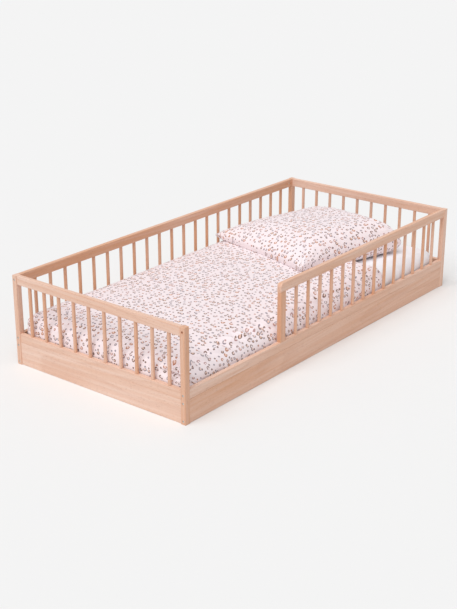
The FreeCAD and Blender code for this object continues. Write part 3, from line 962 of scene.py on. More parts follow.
@dataclass
class SpindleRows:
    """The round spindles of the four panels, with a tenon and a small shoulder at each end."""

    pitches: dict = field(              # node to pitch and warmth; the warmths are partly the wood's tone and partly painted shade that darkens the rows, most of all the back and guard ones
        default_factory=lambda: {
            "back_spindles": (88 * MM, 0.85),
            "guard_spindles": (88 * MM, 0.75),
            "foot_spindles": (85 * MM, 0.65),
            "head_spindles": (85 * MM, 0.65),
        }
    )
    tenon_length: float = 12 * MM
    tenon_radius: float = 5 * MM
    shoulder: float = 1.0 * MM
    shoulder_face: float = 0.05 * MM   # along the spindle, so that its ring isn't on the tenon's
    sides: int = 24

    def profile(self, name: str, length: float, radius: float) -> Piece:
        """Makes the chain of points from which a spindle is turned.

        Args:
            name: The piece's name.
            length: From tenon end to tenon end.
            radius: Of the spindle.

        Returns:
            An object of points along +Z with a radius at each.
        """
        half = [
            (0.0, self.tenon_radius - self.shoulder / 2),
            (self.shoulder, self.tenon_radius),
            (self.tenon_length - self.shoulder_face, self.tenon_radius),
            (self.tenon_length, radius - self.shoulder),
            (self.tenon_length + self.shoulder, radius),
        ]
        turned = half + [(length - z, r) for z, r in reversed(half)]
        chain = mesh_object(name, np.array([(0.0, 0.0, z) for z, _ in turned]), [])
        radii = chain.data.attributes.new(TURNED_RADIUS, "FLOAT", "POINT")
        radii.data.foreach_set("value", [r for _, r in turned])
        return chain

    def build(self) -> None:
        """Turns the four rows and puts them in place of their CAD nodes."""
        recipe = turned_rods()
        for node, (pitch, tone_with_painted_shade) in self.pitches.items():
            low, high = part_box(node)
            size = high - low
            run = 0 if size.x > size.y else 1
            radius = size[1 - run] / 2
            count = round((size[run] - 2 * radius) / pitch) + 1
            row = self.profile(f"turned_{node}", size.z, radius)
            recipe.grow(
                row,
                Sides=self.sides,
                Count=count,
                Start=(low.x + radius, low.y + radius, low.z),
                Step=tuple(pitch if i == run else 0.0 for i in range(3)),
                Seed=seed_of(node),
                Material=BEECH.material(node, Grain.UPRIGHT, tone_with_painted_shade, scattered=True),
            )
            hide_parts(node)
            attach(row, "frame")
            LOG.info("%s: %d spindles", row.name, count)


@dataclass
class SlattedBase:
    """Pine slats on pine battens, spaced by two webbing tapes."""

    nodes: dict
    edge: float = 3 * MM
    edge_steps: int = 3
    slat_warmth: float = 0.4
    batten_warmth: float = 0.5

    def slat_blank(self, size: Vector) -> Piece:
        """Makes one slat with rounded long edges, centred on the origin.

        Args:
            size: Its width, length and thickness.

        Returns:
            The slat.
        """
        outline = rounded_rectangle(size.x / 2, size.z / 2, self.edge, self.edge_steps)
        ends = [[(x, y, z) for x, z in outline] for y in (size.y / 2, -size.y / 2)]
        return mesh_object("pine_slats", *loft(ends))

    def build(self) -> None:
        """Lays the slats and dresses the battens and tapes."""
        names = sorted(n for n in self.nodes if n.startswith("slat_") and n[5:].isdigit())
        low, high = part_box(names[0])
        pitch = (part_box(names[-1])[0].x - low.x) / (len(names) - 1)
        slats = self.slat_blank(high - low)
        copies_in_a_row().grow(
            slats,
            Count=len(names),
            Start=tuple((low + high) / 2),
            Step=(pitch, 0.0, 0.0),
            Seed=seed_of("slats"),
            Material=PINE.material("slats", Grain.ACROSS_BED, self.slat_warmth, scattered=True),
        )
        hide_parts(*names)
        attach(slats, "frame")
        for name in ("slat_batten_front", "slat_batten_back"):
            batten = PINE.material(name, Grain.ALONG_BED, self.batten_warmth)
            self.nodes[name].data.materials[0] = batten
        self.nodes["slat_tapes"].data.materials[0] = WEBBING.material()
        LOG.info("slatted base: %d slats", len(names))


@dataclass
class Hardware:
    """Bolts, barrel nuts and screws in zinc-plated steel, and the beech dowels."""

    nodes: dict
    metal_nodes: tuple = ("connector_bolts", "barrel_nuts", "batten_screws", "slat_screws")
    dowel_warmth: float = 0.3

    def dress(self) -> None:
        """Gives the fittings their metal and the dowels their beech."""
        metal = ZincPlate().material()
        for name in self.metal_nodes:
            self.nodes[name].data.materials[0] = metal
        dowels = BEECH.material("joint_dowels", Grain.ALONG_BED, self.dowel_warmth)
        self.nodes["joint_dowels"].data.materials[0] = dowels
        LOG.info("hardware: %d metal nodes", len(self.metal_nodes))


# --- Cloth ----------------------------------------------------------------------------------------
@dataclass(frozen=True)
class Inflation:
    """One run of the cloth solver with gravity off: filling presses the cover outwards."""

    frames: int
    pressure: float
    slack: float                       # how much larger the cloth is than its start shape
    cap: float                         # furthest that a point may move
    bending: float = 0.6
    tension: float = 18.0
    quality: int = 6

    def run(self, piece: Piece, pin: Array, loose: Array) -> None:
        """Simulates the cover and keeps the result as its mesh.

        Args:
            piece: A closed cover.
            pin: For each vertex, 1 where it is held still.
            loose: For each vertex, the share of the slack that it gets.
        """
        start = vertex_rows(piece.data)
        for group_name, weights in (("held", pin), ("loose", loose)):
            group = piece.vertex_groups.new(name=group_name)
            rounded = np.round(weights, 2)
            for level in np.unique(rounded[rounded > 0]):
                group.add(np.nonzero(rounded == level)[0].tolist(), float(level), "REPLACE")
        modifier = piece.modifiers.new("filling", "CLOTH")
        cloth = modifier.settings
        cloth.quality = self.quality
        cloth.tension_stiffness = self.tension
        cloth.compression_stiffness = self.tension
        cloth.shear_stiffness = self.tension / 3
        cloth.bending_stiffness = self.bending
        cloth.use_pressure = True
        cloth.uniform_pressure_force = self.pressure
        cloth.vertex_group_mass = "held"
        cloth.vertex_group_shrink = "loose"
        cloth.shrink_min = 0.0
        cloth.shrink_max = -self.slack
        cloth.effector_weights.gravity = 0.0
        modifier.collision_settings.use_collision = False
        modifier.collision_settings.use_self_collision = False
        modifier.point_cache.frame_start = 1
        modifier.point_cache.frame_end = self.frames
        for frame in range(1, self.frames + 1):
            bpy.context.scene.frame_set(frame)
        graph = bpy.context.evaluated_depsgraph_get()
        travel = vertex_rows(piece.evaluated_get(graph).data) - start
        piece.modifiers.remove(modifier)
        piece.vertex_groups.clear()
        bpy.context.scene.frame_set(1)
        length = np.linalg.norm(travel, axis=1, keepdims=True) + TINY
        capped = self.cap * np.tanh(length / self.cap)
        set_places(piece.data, start + travel / length * capped)
        LOG.info("%s: filled, moved %.1f mm at most", piece.name, capped.max() / MM)


def subdivide(piece: Piece) -> None:
    """Rounds a piece with one level of subdivision, kept in its mesh.

    Args:
        piece: The piece.
    """
    modifier = piece.modifiers.new("rounding", "SUBSURF")
    modifier.levels = 1
    modifier.render_levels = 1
    modifier.boundary_smooth = "PRESERVE_CORNERS"
    rounded = evaluated_mesh(piece)
    piece.modifiers.remove(modifier)
    piece.data = rounded


@dataclass(frozen=True)
class SeamThread:
    """Sewing thread that shows as a row of short stitches along a seam."""

    pitch: float = 4 * MM
    length: float = 2.6 * MM
    radius: float = 0.4 * MM
    sides: int = 6

    def sew(self, name: str, seam: Array, body: str) -> None:
        """Sews stitches along a seam.

        Args:
            name: The stitches' name.
            seam: Points along the seam.
            body: The body that they ride on.
        """
        stitches = mesh_object(name, seam, [])
        stitches_along().grow(
            stitches,
            Pitch=self.pitch,
            Length=self.length,
            Radius=self.radius,
            Sides=self.sides,
            Material=SEWING_THREAD.material(),
        )
        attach(stitches, body)
        LOG.info("%s: %d faces", name, len(stitches.data.polygons))


@dataclass(frozen=True)
class EdgeZone:
    """One turned-down edge of a laid cover: a rounded shoulder and a wall below it."""

    width: float                       # of the rounded shoulder
    wall_top: float
    hem: float


@dataclass
class CoverGrid:
    """A grid over a rounded rectangle that turns down at its four edges.

    Each direction runs through a wall, a shoulder, the flat, a shoulder and a wall. Where two edges
    meet, the grid's squares are drawn into a round corner.
    """

    low: tuple
    high: tuple
    edges: dict                        # "foot", "head", "front", "back" to EdgeZone
    step: float
    wall_rows: int = 3
    corner_power: float = 2.0          # 2 for round corners, more for squarer ones
    arc_share: float = 1.6             # a shoulder's length as a share of its width
    least_width: float = 50 * MM       # for which a shoulder gets its rows

    def turned(self, edge: EdgeZone) -> Array:
        """Lists the turn-down of an edge's rows, from the flat outwards.

        Args:
            edge: The edge.

        Returns:
            Above 0 to 1 on the shoulder, and above 1 to 2 on the wall.
        """
        count = max(3, round(self.arc_share * max(edge.width, self.least_width) / self.step))
        shoulder = np.sin(np.linspace(0, QUARTER, count + 1)[1:])
        wall = 1 + np.linspace(0, 1, self.wall_rows + 1)[1:]
        return np.concatenate([shoulder, wall])

    def axis(self, low: float, high: float, first: EdgeZone, last: EdgeZone) -> tuple:
        """Lays out one direction of the grid.

        Args:
            low: Where the cover starts.
            high: Where it ends.
            first: The edge at the start.
            last: The edge at the end.

        Returns:
            For each row, its place on the flat and its signed turn-down from -2 to 2.
        """
        core_low, core_high = low + first.width, high - last.width
        flat_count = max(2, round((core_high - core_low) / self.step))
        flat = np.linspace(core_low, core_high, flat_count + 1)
        start, end = self.turned(first)[::-1], self.turned(last)
        before, after = np.full(len(start), core_low), np.full(len(end), core_high)
        turn = np.concatenate([-start, np.zeros(len(flat)), end])
        return np.concatenate([before, flat, after]), turn

    def lay(self, top: object) -> tuple[Array, Array]:
        """Places the grid.

        Args:
            top: Function of x and y arrays that gives the height of the flat.

        Returns:
            The points as rows by columns by 3, and the turn-down of each point.
        """
        foot, head = self.edges["foot"], self.edges["head"]
        front, back = self.edges["front"], self.edges["back"]
        core_x, turn_x = self.axis(self.low[0], self.high[0], foot, head)
        core_y, turn_y = self.axis(self.low[1], self.high[1], front, back)
        cx, cy = np.meshgrid(core_x, core_y, indexing="ij")
        ax, ay = np.meshgrid(turn_x, turn_y, indexing="ij")
        deep = np.maximum(abs(ax), abs(ay))
        power = self.corner_power
        size = (abs(ax) ** power + abs(ay) ** power) ** (1 / power) + FLAT
        reach = np.minimum(deep, 1.0) / size
        x = cx + np.where(ax < 0, foot.width, head.width) * ax * reach
        y = cy + np.where(ay < 0, front.width, back.width) * ay * reach
        share = ax**2 / (ax**2 + ay**2 + FLAT)

        def blended(measure: str) -> Array:
            """Blends a measure of the two edges that meet at each point."""
            ends = np.where(ax < 0, getattr(foot, measure), getattr(head, measure))
            sides = np.where(ay < 0, getattr(front, measure), getattr(back, measure))
            return share * ends + (1 - share) * sides

        wall_top, hem = blended("wall_top"), blended("hem")
        shoulder = wall_top + (top(x, y) - wall_top) * np.sqrt(np.clip(1 - deep**2, 0, 1))
        wall = wall_top - (deep - 1) * (wall_top - hem)
        return np.stack([x, y, np.where(deep <= 1, shoulder, wall)], axis=-1), deep


def laid_out(grid: Array) -> Array:
    """Unrolls a grid to its flat cloth layout by arc length through its middle.

    Args:
        grid: Points as rows by columns by 3.

    Returns:
        Flat positions in metres, one row per vertex.
    """
    rows, columns = grid.shape[:2]
    middles = (grid[:, columns // 2], grid[rows // 2])
    steps = [np.linalg.norm(np.diff(line, axis=0), axis=1) for line in middles]
    places = [np.concatenate([[0], np.cumsum(step)]) for step in steps]
    return np.stack(np.meshgrid(*places, indexing="ij"), axis=-1).reshape(-1, 2)


# --- Bedding --------------------------------------------------------------------------------------
@dataclass
class Mattress:
    """Foam mattress with a taped seam round its top and bottom, inside its fitted sheet."""

    tape_width: float = 9 * MM
    tape_swell: float = 1.6 * MM
    round_steps: int = 8
    corner: float = 60 * MM
    corner_share: float = 0.9          # of a level's inset that its corner radius loses
    top_round: float = 50 * MM
    base_round: float = 15 * MM
    inset: float = 2.5 * MM            # under the sheet

    def build(self) -> None:
        """Lofts the mattress and dresses it."""
        low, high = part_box("mattress")
        half_x, half_y = high.x - self.inset, high.y - self.inset
        turns = [QUARTER * k / self.round_steps for k in range(self.round_steps + 1)]
        under, over = self.base_round, self.top_round
        base = low.z + under
        brow = high.z - self.inset - over
        levels = [(base - under * math.cos(turn), under * (1 - math.sin(turn))) for turn in turns]
        for seam in (base + self.tape_width, brow - self.tape_width):
            half = self.tape_width / 2
            levels += [(seam - half, 0.0), (seam, -self.tape_swell), (seam + half, 0.0)]
        levels += [(brow + over * math.sin(turn), over * (1 - math.cos(turn))) for turn in turns]
        rings = []
        for z, drawn_in in levels:
            corner = self.corner - self.corner_share * drawn_in
            sides = (half_x - drawn_in, half_y - drawn_in)
            outline = rounded_rectangle(*sides, corner, self.round_steps)
            rings.append([(x, y, z) for x, y in outline])
        pad = mesh_object("foam_mattress", *loft(rings))
        pad.data.materials.append(TICKING.material())
        pad.data.set_sharp_from_angle(angle=SMOOTH_ANGLE)
        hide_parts("mattress")
        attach(pad, "mattress")
        LOG.info("mattress: %d rings", len(rings))


@dataclass
class FittedSheet:
    """White cotton sheet stretched over the mattress, with loose upright folds down its sides."""

    step: float = 14 * MM
    wall_rows: int = 6
    thickness: float = 0.7 * MM
    shoulder: float = 50 * MM
    core: float = 70 * MM              # from the edge to the line that the folds point away from
    folded: tuple = (0.45, 1.4)        # turn-down where the folds begin and are full
    tight_fold: float = 2 * MM         # drawn in where the duvet presses on it
    loose_fold: float = 6 * MM         # let out where nothing does
    loose_from: float = 0.52           # along the bed
    loose_over: float = 0.08
    fold_width: float = 30 * MM
    fold_upright: float = 0.12         # pattern scale up the wall
    fine_folds: float = 2.1            # small folds to each large one
    fine_share: float = 0.5
    fold_gain: float = 1.3
    seed: int = 11

    def folds(self, points: Array, deep: Array) -> Array:
        """Gives the folds down the sheet's sides.

        Args:
            points: One row per vertex.
            deep: Turn-down of each vertex.

        Returns:
            How far each vertex stands out.
        """
        around = points * [1, 1, self.fold_upright]
        noisy = lumps(around, self.fold_width, self.seed)
        noisy += self.fine_share * lumps(around, self.fold_width / self.fine_folds, self.seed + 1)
        swell = 0.5 + 0.5 * np.clip(self.fold_gain * noisy, -1, 1)
        loose = smooth_step(points[:, 0], self.loose_from, self.loose_from + self.loose_over)
        depth = self.loose_fold * loose * swell - self.tight_fold * (1 - swell)
        return depth * smooth_step(deep, *self.folded)

    def build(self) -> Piece:
        """Stretches the sheet over the mattress.

        Returns:
            The sheet.
        """
        low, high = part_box("fitted_sheet")
        top = high.z - self.thickness
        edge = EdgeZone(width=self.shoulder, wall_top=top - self.shoulder, hem=low.z)
        inset = self.thickness / 2
        cover = CoverGrid(
            low=(low.x + inset, low.y + inset),
            high=(high.x - inset, high.y - inset),
            edges=dict.fromkeys(("foot", "head", "front", "back"), edge),
            step=self.step,
            wall_rows=self.wall_rows,
        )
        grid, deep = cover.lay(lambda x, y: np.full_like(x, top))
        layout = laid_out(grid)
        points = grid.reshape(-1, 3)
        nearest = (low.x + self.core, low.y + self.core)
        furthest = (high.x - self.core, high.y - self.core)
        outwards = points[:, :2] - np.clip(points[:, :2], nearest, furthest)
        outwards /= np.linalg.norm(outwards, axis=1, keepdims=True) + TINY
        points[:, :2] += outwards * self.folds(points, deep.reshape(-1))[:, None]
        sheet = mesh_object("fitted_sheet_cotton", points, grid_faces(*deep.shape), layout)
        subdivide(sheet)
        sheet.data.materials.append(PERCALE.material())
        skin = sheet.modifiers.new("cloth", "SOLIDIFY")
        skin.thickness = self.thickness
        skin.offset = 0.0
        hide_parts("fitted_sheet")
        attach(sheet, "mattress")
        return sheet


@dataclass
class Duvet:
    """Puffy duvet tucked between the mattress and the frame, with gathered folds at its front."""

    cotton: Material
    step: float = 12.5 * MM
    margin: float = 0.6 * MM           # kept clear of the frame
    lining_gap: float = 0.6 * MM       # over the sheet
    front: EdgeZone = EdgeZone(width=104 * MM, wall_top=150 * MM, hem=128 * MM)
    back: EdgeZone = EdgeZone(width=62 * MM, wall_top=192 * MM, hem=130 * MM)
    foot: EdgeZone = EdgeZone(width=88 * MM, wall_top=188 * MM, hem=126 * MM)
    head: EdgeZone = EdgeZone(width=42 * MM, wall_top=216 * MM, hem=200 * MM)
    corner_power: float = 5.0
    crown: float = 238 * MM
    crown_half: float = 0.4            # metres from the middle over which the crown falls
    front_fall: float = 18 * MM
    back_fall: float = 5 * MM
    puff: float = 3.2 * MM
    puff_size: float = 210 * MM
    fold_pitch: float = 84 * MM
    fold_depth: float = 38 * MM
    fine_folds: float = 2.3            # small folds to each large one
    fine_share: float = 0.3            # of the large folds' depth
    fine_phase: float = 0.3
    folded: tuple = (0.08, 0.55, 1.3, 1.9)   # turn-down where the folds begin, are full and end
    near_frame: tuple = (0.5, 0.9)     # turn-down over which they come to be drawn inwards
    front_folds: tuple = (0.31, 0.36)  # metres from the middle where they begin and are full
    foot_folds: tuple = (0.86, 0.93)
    fold_slant: float = 1.3            # metres along the bed for each metre down the slope
    fold_upright: float = 0.2          # pattern scale of the folds' wander up the wall
    wander: tuple = (0.5, 0.22)        # of the folds: pitches, and the size of its lumps
    uneven: tuple = (0.7, 0.1)         # the same for their depth
    even_depth: float = 0.65
    foot_fold_depth: float = 4 * MM
    foot_fold_rate: float = 1.5        # folds to each fold at the front
    underside_shift: float = 2.0       # metres of cloth between the print above and below
    least_filling: float = 1.5 * MM    # left between the cover and its underside
    sheet_round: float = 57 * MM
    held: tuple = (1.0, 1.35)          # turn-down where the filling's hold begins and is full
    loose_top: float = 0.25            # share of the slack
    loose_foot: float = 0.4
    front_loose: tuple = (0.2, 0.36)   # metres from the middle over which the slack grows
    foot_loose: tuple = (0.84, 0.93)
    filling: Inflation = Inflation(frames=22, pressure=3.0, slack=0.08, cap=5 * MM)
    seed: int = 5

    def roof(self, x: Array, y: Array) -> Array:
        """Gives the height of the duvet's top before its filling swells.

        Args:
            x: Places along the bed, which change nothing.
            y: Places across the bed.

        Returns:
            Heights.
        """
        front = np.clip(-y / self.crown_half, 0, 1) ** 2
        back = np.clip(y / self.crown_half, 0, 1) ** 2
        return self.crown - self.front_fall * front - self.back_fall * back

    def folds(self, points: Array, deep: Array, room: Array) -> Array:
        """Gives the gathered folds where the tucked edges draw the cover in.

        Args:
            points: One row per vertex.
            deep: Turn-down of each vertex, below 0 on the underside.
            room: How far each vertex may go inwards.

        Returns:
            How far each vertex stands out along its normal.
        """
        slope = rise_and_fall(deep, self.folded)
        along, across, height = points.T
        flattened = points * [1, 1, self.fold_upright]
        wander = self.wander[0] * lumps(flattened, self.wander[1], self.seed + 3)
        uneven = self.uneven[0] * lumps(flattened, self.uneven[1], self.seed + 4)
        front = smooth_step(-across, *self.front_folds)
        foot = smooth_step(-along, *self.foot_folds) * (1 - front)
        drawn = (along - self.fold_slant * (self.crown - height)) / self.fold_pitch + wander
        upright = across / self.fold_pitch * self.foot_fold_rate + wander
        mean = 2 / math.pi
        outermost = mean + (1 - mean) * smooth_step(deep, *self.near_frame)

        def puffs(turns: Array) -> Array:
            """Gives rounded puffs with creases between them, all drawn inwards near the frame."""
            return abs(np.cos(math.pi * turns)) - outermost

        fine = puffs(self.fine_folds * drawn + self.fine_phase)
        drawn_puffs = puffs(drawn) + self.fine_share * fine
        depth = self.fold_depth * front * drawn_puffs + self.foot_fold_depth * foot * puffs(upright)
        return np.maximum(slope * (self.even_depth + uneven) * depth, -room)

    def lining(self, points: Array, sheet_high: Vector) -> Array:
        """Projects the cover's points onto the sheet, to make the duvet's underside.

        Args:
            points: The outer cover's points.
            sheet_high: The sheet's highest corner.

        Returns:
            One point on the rounded sheet for each.
        """
        high = np.array(sheet_high, float) + self.lining_gap - self.sheet_round
        core = np.minimum(points, high)
        core[:, :2] = np.maximum(core[:, :2], -high[:2])
        away = points - core
        away /= np.linalg.norm(away, axis=1, keepdims=True) + TINY
        return core + self.sheet_round * away

    def build(self) -> Piece:
        """Lays, fills and dresses the duvet.

        Returns:
            The duvet.
        """
        low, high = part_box("duvet")
        _, sheet_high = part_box("fitted_sheet")
        half_y = high.y - self.margin
        cover = CoverGrid(
            low=(low.x + self.margin, -half_y),
            high=(high.x, half_y),
            edges={"foot": self.foot, "head": self.head, "front": self.front, "back": self.back},
            step=self.step,
            corner_power=self.corner_power,
        )
        grid, deep = cover.lay(self.roof)
        rows, columns = deep.shape
        layout = laid_out(grid)
        outer, deep = grid.reshape(-1, 3), deep.reshape(-1)
        under = outer.copy()           # at the head, its rows are spread out under the shoulder
        past = np.maximum(outer[:, 0] - (high.x - self.head.width), 0)
        under[:, 0] += past * (np.maximum(deep, 1) / 2 - 1)
        lining = self.lining(under, sheet_high)
        outer[:, 2] += self.puff * lumps(outer * [1, 1, 0], self.puff_size, self.seed) * (deep < 1)
        ring = border_ring(rows, columns)
        count = len(outer)
        faces = grid_faces(rows, columns) + grid_faces(rows, columns, count, flip=True)
        faces += [(a, b, count + b, count + a) for a, b in zip(ring, ring[1:] + ring[:1])]
        both = np.concatenate([layout, layout + [self.underside_shift, 0.0]])
        duvet = mesh_object("puffy_duvet", np.concatenate([outer, lining]), faces, both)
        front = smooth_step(-outer[:, 1], *self.front_loose)
        foot = smooth_step(-outer[:, 0], *self.foot_loose)
        sides = np.maximum(front, self.loose_foot * foot)
        loose = self.loose_top + (1 - self.loose_top) * sides
        pin = np.concatenate([smooth_step(deep, *self.held), np.ones(count)])
        self.filling.run(duvet, pin, np.concatenate([loose, np.zeros(count)]))
        turned = duvet.data.attributes.new(TURN_DOWN, "FLOAT", "POINT")
        turned.data.foreach_set("value", np.concatenate([deep, np.full(count, -1.0)]))
        subdivide(duvet)
        settled = vertex_rows(duvet.data)
        deep = np.zeros(len(settled), np.float32)
        duvet.data.attributes[TURN_DOWN].data.foreach_get("value", deep)
        duvet.data.attributes.remove(duvet.data.attributes[TURN_DOWN])
        filling = np.linalg.norm(settled - self.lining(settled, sheet_high), axis=1)
        room = np.maximum(filling - self.least_filling, 0)
        outwards = vertex_rows(duvet.data, "normal")
        settled += outwards * self.folds(settled, deep, room)[:, None]
        settled[:, 1] = np.clip(settled[:, 1], -half_y, half_y)
        settled[:, 0] = np.maximum(settled[:, 0], low.x + self.margin)
        set_places(duvet.data, settled)
        duvet.data.materials.append(self.cotton)
        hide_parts("duvet")
        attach(duvet, "duvet")
        LOG.info("duvet: %d by %d grid", rows, columns)
        head_edge = settled[(rows - 1) * columns : rows * columns]
        SeamThread().sew("duvet_seam_stitches", head_edge, "duvet")
        return duvet


@dataclass(frozen=True)
class Plumpness:
    """How full a pillow stays towards each side: a high number keeps it full up to the seam."""

    foot: float = 2.1
    head: float = 12.0
    front: float = 7.0
    back: float = 1.9
    roundness: float = 0.4

    def along(self, place: Array, low: float, high: float) -> Array:
        """Gives the fullness across one direction.

        Args:
            place: Places from -1 to 1.
            low: Fullness towards -1.
            high: Fullness towards 1.

        Returns:
            Shares of the full height.
        """
        power = np.where(place < 0, low, high)
        return np.clip(1 - abs(place) ** power, 0, 1) ** self.roundness

    def height(self, u: Array, v: Array) -> Array:
        """Gives the share of the full height.

        Args:
            u: Places from the foot side (-1) to the head side (1).
            v: Places from the front side (-1) to the back side (1).

        Returns:
            Shares of the full height.
        """
        return self.along(u, self.foot, self.head) * self.along(v, self.front, self.back)


@dataclass
class Pillow:
    """Square pillow in a printed case, lying half on the duvet and half on the sheet."""

    cotton: Material
    half: float = 325 * MM             # from the middle to the seam at the corners
    turn: float = math.radians(-14)
    cells: int = 76
    crown: float = 96 * MM             # over the seam
    back_fall: float = 0.13            # share that the crown falls towards the back
    belly: float = 60 * MM             # under the seam
    belly_roundness: float = 0.7       # below 1, fuller than the crown towards the seam
    hem: float = 255 * MM              # height of the seam
    drawn_in: float = 0.03             # share that a side draws in at its middle
    plumpness: Plumpness = Plumpness()
    print_shift: float = 3.0           # metres of cloth between the duvet's print and the pillow's
    rest_gap: float = 0.8 * MM
    pucker: float = 3 * MM
    pucker_width: float = 26 * MM
    pucker_reach: tuple = (0.002, 0.015, 0.03, 0.11)   # metres in from the seam
    pucker_stretch: float = 0.25       # pattern scale in from the seam
    crease: float = 4.5 * MM           # at the corners
    crease_width: float = 45 * MM
    crease_reach: tuple = (0.01, 0.05, 0.09, 0.2)      # metres in from the corner
    crease_fan: tuple = (0.16, 0.2)    # pattern scales round the corner and away from it
    held_from: float = 0.985           # share of the way to the seam
    filling: Inflation = Inflation(frames=20, pressure=4.0, slack=0.035, cap=9 * MM)
    seed: int = 8

    def case(self) -> tuple[Piece, Array]:
        """Sews two square panels into a closed case in its filled shape.

        Returns:
            The case, and each point's place in the square with the sign of its panel, as rows of
            u, v and sign.
        """
        n = self.cells + 1
        line = np.sin(np.linspace(-QUARTER, QUARTER, n))
        u, v = np.meshgrid(line, line, indexing="ij")
        x = self.half * u * (1 - self.drawn_in * (1 - v**2))
        y = self.half * v * (1 - self.drawn_in * (1 - u**2))
        fullness = self.plumpness.height(u, v)
        grid = np.stack([x, y, self.crown * (1 - self.back_fall * v) * fullness], axis=-1)
        layout = laid_out(grid)
        upper = grid.reshape(-1, 3)
        flat_out = np.stack([u, v, np.ones_like(u)], axis=-1).reshape(-1, 3)
        inner = sorted(set(range(n * n)) - set(border_ring(n, n)))
        lower_number = list(range(n * n))
        for k, i in enumerate(inner):
            lower_number[i] = n * n + k
        lower = upper[inner].copy()
        lower[:, 2] = -self.belly * fullness.reshape(-1)[inner] ** self.belly_roundness
        faces = grid_faces(n, n)
        faces += [tuple(lower_number[i] for i in quad)[::-1] for quad in faces]
        layout = np.concatenate([layout, layout[inner]]) + self.print_shift
        case = mesh_object("square_pillow", np.concatenate([upper, lower]), faces, layout)
        return case, np.concatenate([flat_out, flat_out[inner] * [1, 1, -1]])

    def wrinkles(self, panels: Array) -> Array:
        """Gives the puckers along the seam and the creases that run in from the corners.

        Args:
            panels: Each point's u, v and panel.

        Returns:
            How far each point stands out along its normal.
        """
        u, v, panel = panels.T
        across = (1 - np.maximum(abs(u), abs(v))) * self.half
        side = np.where(abs(u) > abs(v), np.sign(u), 3 + np.sign(v))
        along = np.where(abs(u) > abs(v), v, u) * self.half
        ribs = np.stack([along, self.pucker_stretch * across, side + 9 * panel], axis=-1)
        puckers = self.pucker * rise_and_fall(across, self.pucker_reach)
        puckers *= lumps(ribs, self.pucker_width, self.seed)
        du, dv = 1 - abs(u), 1 - abs(v)
        away = np.hypot(du, dv) * self.half
        corner = np.sign(u) + 5 * np.sign(v) + 9 * panel
        round_it, out_of_it = self.crease_fan
        rays = np.stack([round_it * np.arctan2(dv, du), out_of_it * away, corner], axis=-1)
        creases = self.crease * rise_and_fall(away, self.crease_reach)
        return puckers + creases * lumps(rays, self.crease_width, self.seed + 1)

    def settle(self, points: Array, below: list) -> Array:
        """Lays the filled pillow on what is under it.

        Args:
            points: The pillow in its place, before it rests on anything.
            below: Objects that it lies on.

        Returns:
            The settled points.
        """
        graph = bpy.context.evaluated_depsgraph_get()
        trees = [BVHTree.FromObject(piece, graph) for piece in below]
        down = Vector((0, 0, -1))
        settled = points.copy()
        for i, (x, y, z) in enumerate(points):
            hits = [tree.ray_cast(Vector((x, y, 1.0)), down)[0] for tree in trees]
            floors = [hit.z + self.rest_gap for hit in hits if hit is not None]
            settled[i, 2] = max([z, *floors])
        return settled

    def build(self, below: list) -> Piece:
        """Fills, lays and dresses the pillow.

        Args:
            below: Objects that it lies on.

        Returns:
            The pillow.
        """
        low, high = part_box("pillow")
        centre = (low + high) / 2
        pillow, panels = self.case()
        points = vertex_rows(pillow.data)
        points += vertex_rows(pillow.data, "normal") * self.wrinkles(panels)[:, None]
        spin = np.array(Matrix.Rotation(self.turn, 2))
        points[:, :2] = points[:, :2] @ spin.T + [centre.x, centre.y]
        points[:, 2] += self.hem
        set_places(pillow.data, self.settle(points, below))
        rim = np.maximum(abs(panels[:, 0]), abs(panels[:, 1]))
        lower = panels[:, 2] < 0
        held = np.where(lower, 1.0, smooth_step(rim, self.held_from, 1.0))
        self.filling.run(pillow, held, np.where(lower, 0.0, 1.0))
        subdivide(pillow)
        settled = self.settle(vertex_rows(pillow.data), below)
        set_places(pillow.data, settled)
        pillow.data.materials.append(self.cotton)
        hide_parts("pillow")
        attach(pillow, "pillow")
        LOG.info("pillow: top at %.0f mm", settled[:, 2].max() / MM)
        ring = border_ring(self.cells + 1, self.cells + 1)
        SeamThread().sew("pillow_seam_stitches", settled[ring + ring[:1]], "pillow")
        return pillow


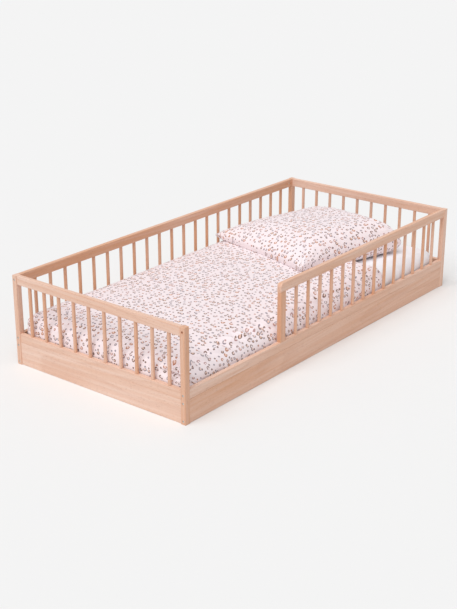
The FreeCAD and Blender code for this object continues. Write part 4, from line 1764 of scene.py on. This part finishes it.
# --- Studio ---------------------------------------------------------------------------------------
@dataclass
class Studio:
    """Pale floor, soft light from above the foot end, and the camera of the photograph."""

    background: str = "#F4F4F4"
    floor_colour: str = "#EBEBEB"
    floor_half: float = 40.0
    floor_drop: float = 0.5 * MM
    sky_strength: float = 0.5
    key_strength: float = 2.15
    key_from: tuple = (-0.5, -0.08, 0.86)
    key_angle: float = math.radians(50)
    camera_at: tuple = (-4.1004, -3.1587, 2.0831)
    azimuth: float = math.radians(-51.421)
    elevation: float = math.radians(21.133)
    focal_pixels: float = 1197.3
    picture_height: int = 609
    sensor: float = 36.0
    furthest: float = 200.0

    def floor(self) -> None:
        """Makes the floor."""
        signs = ((-1, -1), (1, -1), (1, 1), (-1, 1))
        corners = [(x * self.floor_half, y * self.floor_half, -self.floor_drop) for x, y in signs]
        plane = mesh_object("studio_floor", np.array(corners), [(0, 1, 2, 3)])
        material, tree = new_material("matt_floor_paper")
        shade = {"Color": linear(self.floor_colour)}
        shader = add_node(tree, "ShaderNodeBsdfDiffuse", shade).outputs[0]
        add_node(tree, "ShaderNodeOutputMaterial", {"Surface": shader})
        plane.data.materials.append(material)

    def light(self) -> None:
        """Makes the sky and the key light. The camera sees a brighter sky than the bed does."""
        world = bpy.data.worlds.new("studio_sky")
        world.use_nodes = True
        tree = world.node_tree
        tree.nodes.clear()
        rays = add_node(tree, "ShaderNodeLightPath").outputs
        seen = number(tree, "MAXIMUM", rays["Is Camera Ray"], rays["Is Glossy Ray"])
        shown = number(tree, "MAXIMUM", seen, rays["Is Transmission Ray"])
        light = {"Color": linear("#FFFFFF"), "Strength": self.sky_strength}
        backdrop = {"Color": linear(self.background), "Strength": 1.0}
        skies = [add_node(tree, "ShaderNodeBackground", sky) for sky in (light, backdrop)]
        links = {0: shown, 1: skies[0].outputs[0], 2: skies[1].outputs[0]}
        mixed = add_node(tree, "ShaderNodeMixShader", links).outputs[0]
        add_node(tree, "ShaderNodeOutputWorld", {"Surface": mixed})
        bpy.context.scene.world = world
        key = bpy.data.lights.new("key_light", "SUN")
        key.energy = self.key_strength
        key.angle = self.key_angle
        lamp = bpy.data.objects.new("key_light", key)
        lamp.rotation_mode = "QUATERNION"
        lamp.rotation_quaternion = Vector(self.key_from).to_track_quat("Z", "Y")
        bpy.context.scene.collection.objects.link(lamp)

    def camera(self) -> None:
        """Places the camera where the photograph was taken."""
        data = bpy.data.cameras.new("photo_camera")
        data.sensor_width = self.sensor
        data.lens = self.focal_pixels * self.sensor / self.picture_height
        data.clip_end = self.furthest
        viewer = bpy.data.objects.new("photo_camera", data)
        level, rise = math.cos(self.elevation), math.sin(self.elevation)
        back = Vector((math.sin(self.azimuth) * level, -math.cos(self.azimuth) * level, rise))
        viewer.location = self.camera_at
        viewer.rotation_mode = "QUATERNION"
        viewer.rotation_quaternion = (-back).to_track_quat("-Z", "Y")
        bpy.context.scene.collection.objects.link(viewer)
        bpy.context.scene.camera = viewer

    def build(self) -> None:
        """Sets up the whole studio."""
        self.floor()
        self.light()
        self.camera()
        bpy.context.scene.view_settings.view_transform = "Standard"
        LOG.info("studio: floor, two lights and camera")


def main() -> None:
    """Builds the bed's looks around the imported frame, piece by piece."""
    logging.basicConfig(level=logging.INFO, format="%(name)s: %(message)s")
    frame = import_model()
    nodes = frame["nodes"]
    TimberFrame(nodes).dress()
    SpindleRows().build()
    SlattedBase(nodes).build()
    Hardware(nodes).dress()
    Mattress().build()
    sheet = FittedSheet().build()
    cotton = PrintedCotton().material()
    duvet = Duvet(cotton).build()
    Pillow(cotton).build([duvet, sheet])
    Studio().build()


if __name__ == "__main__":
    main()
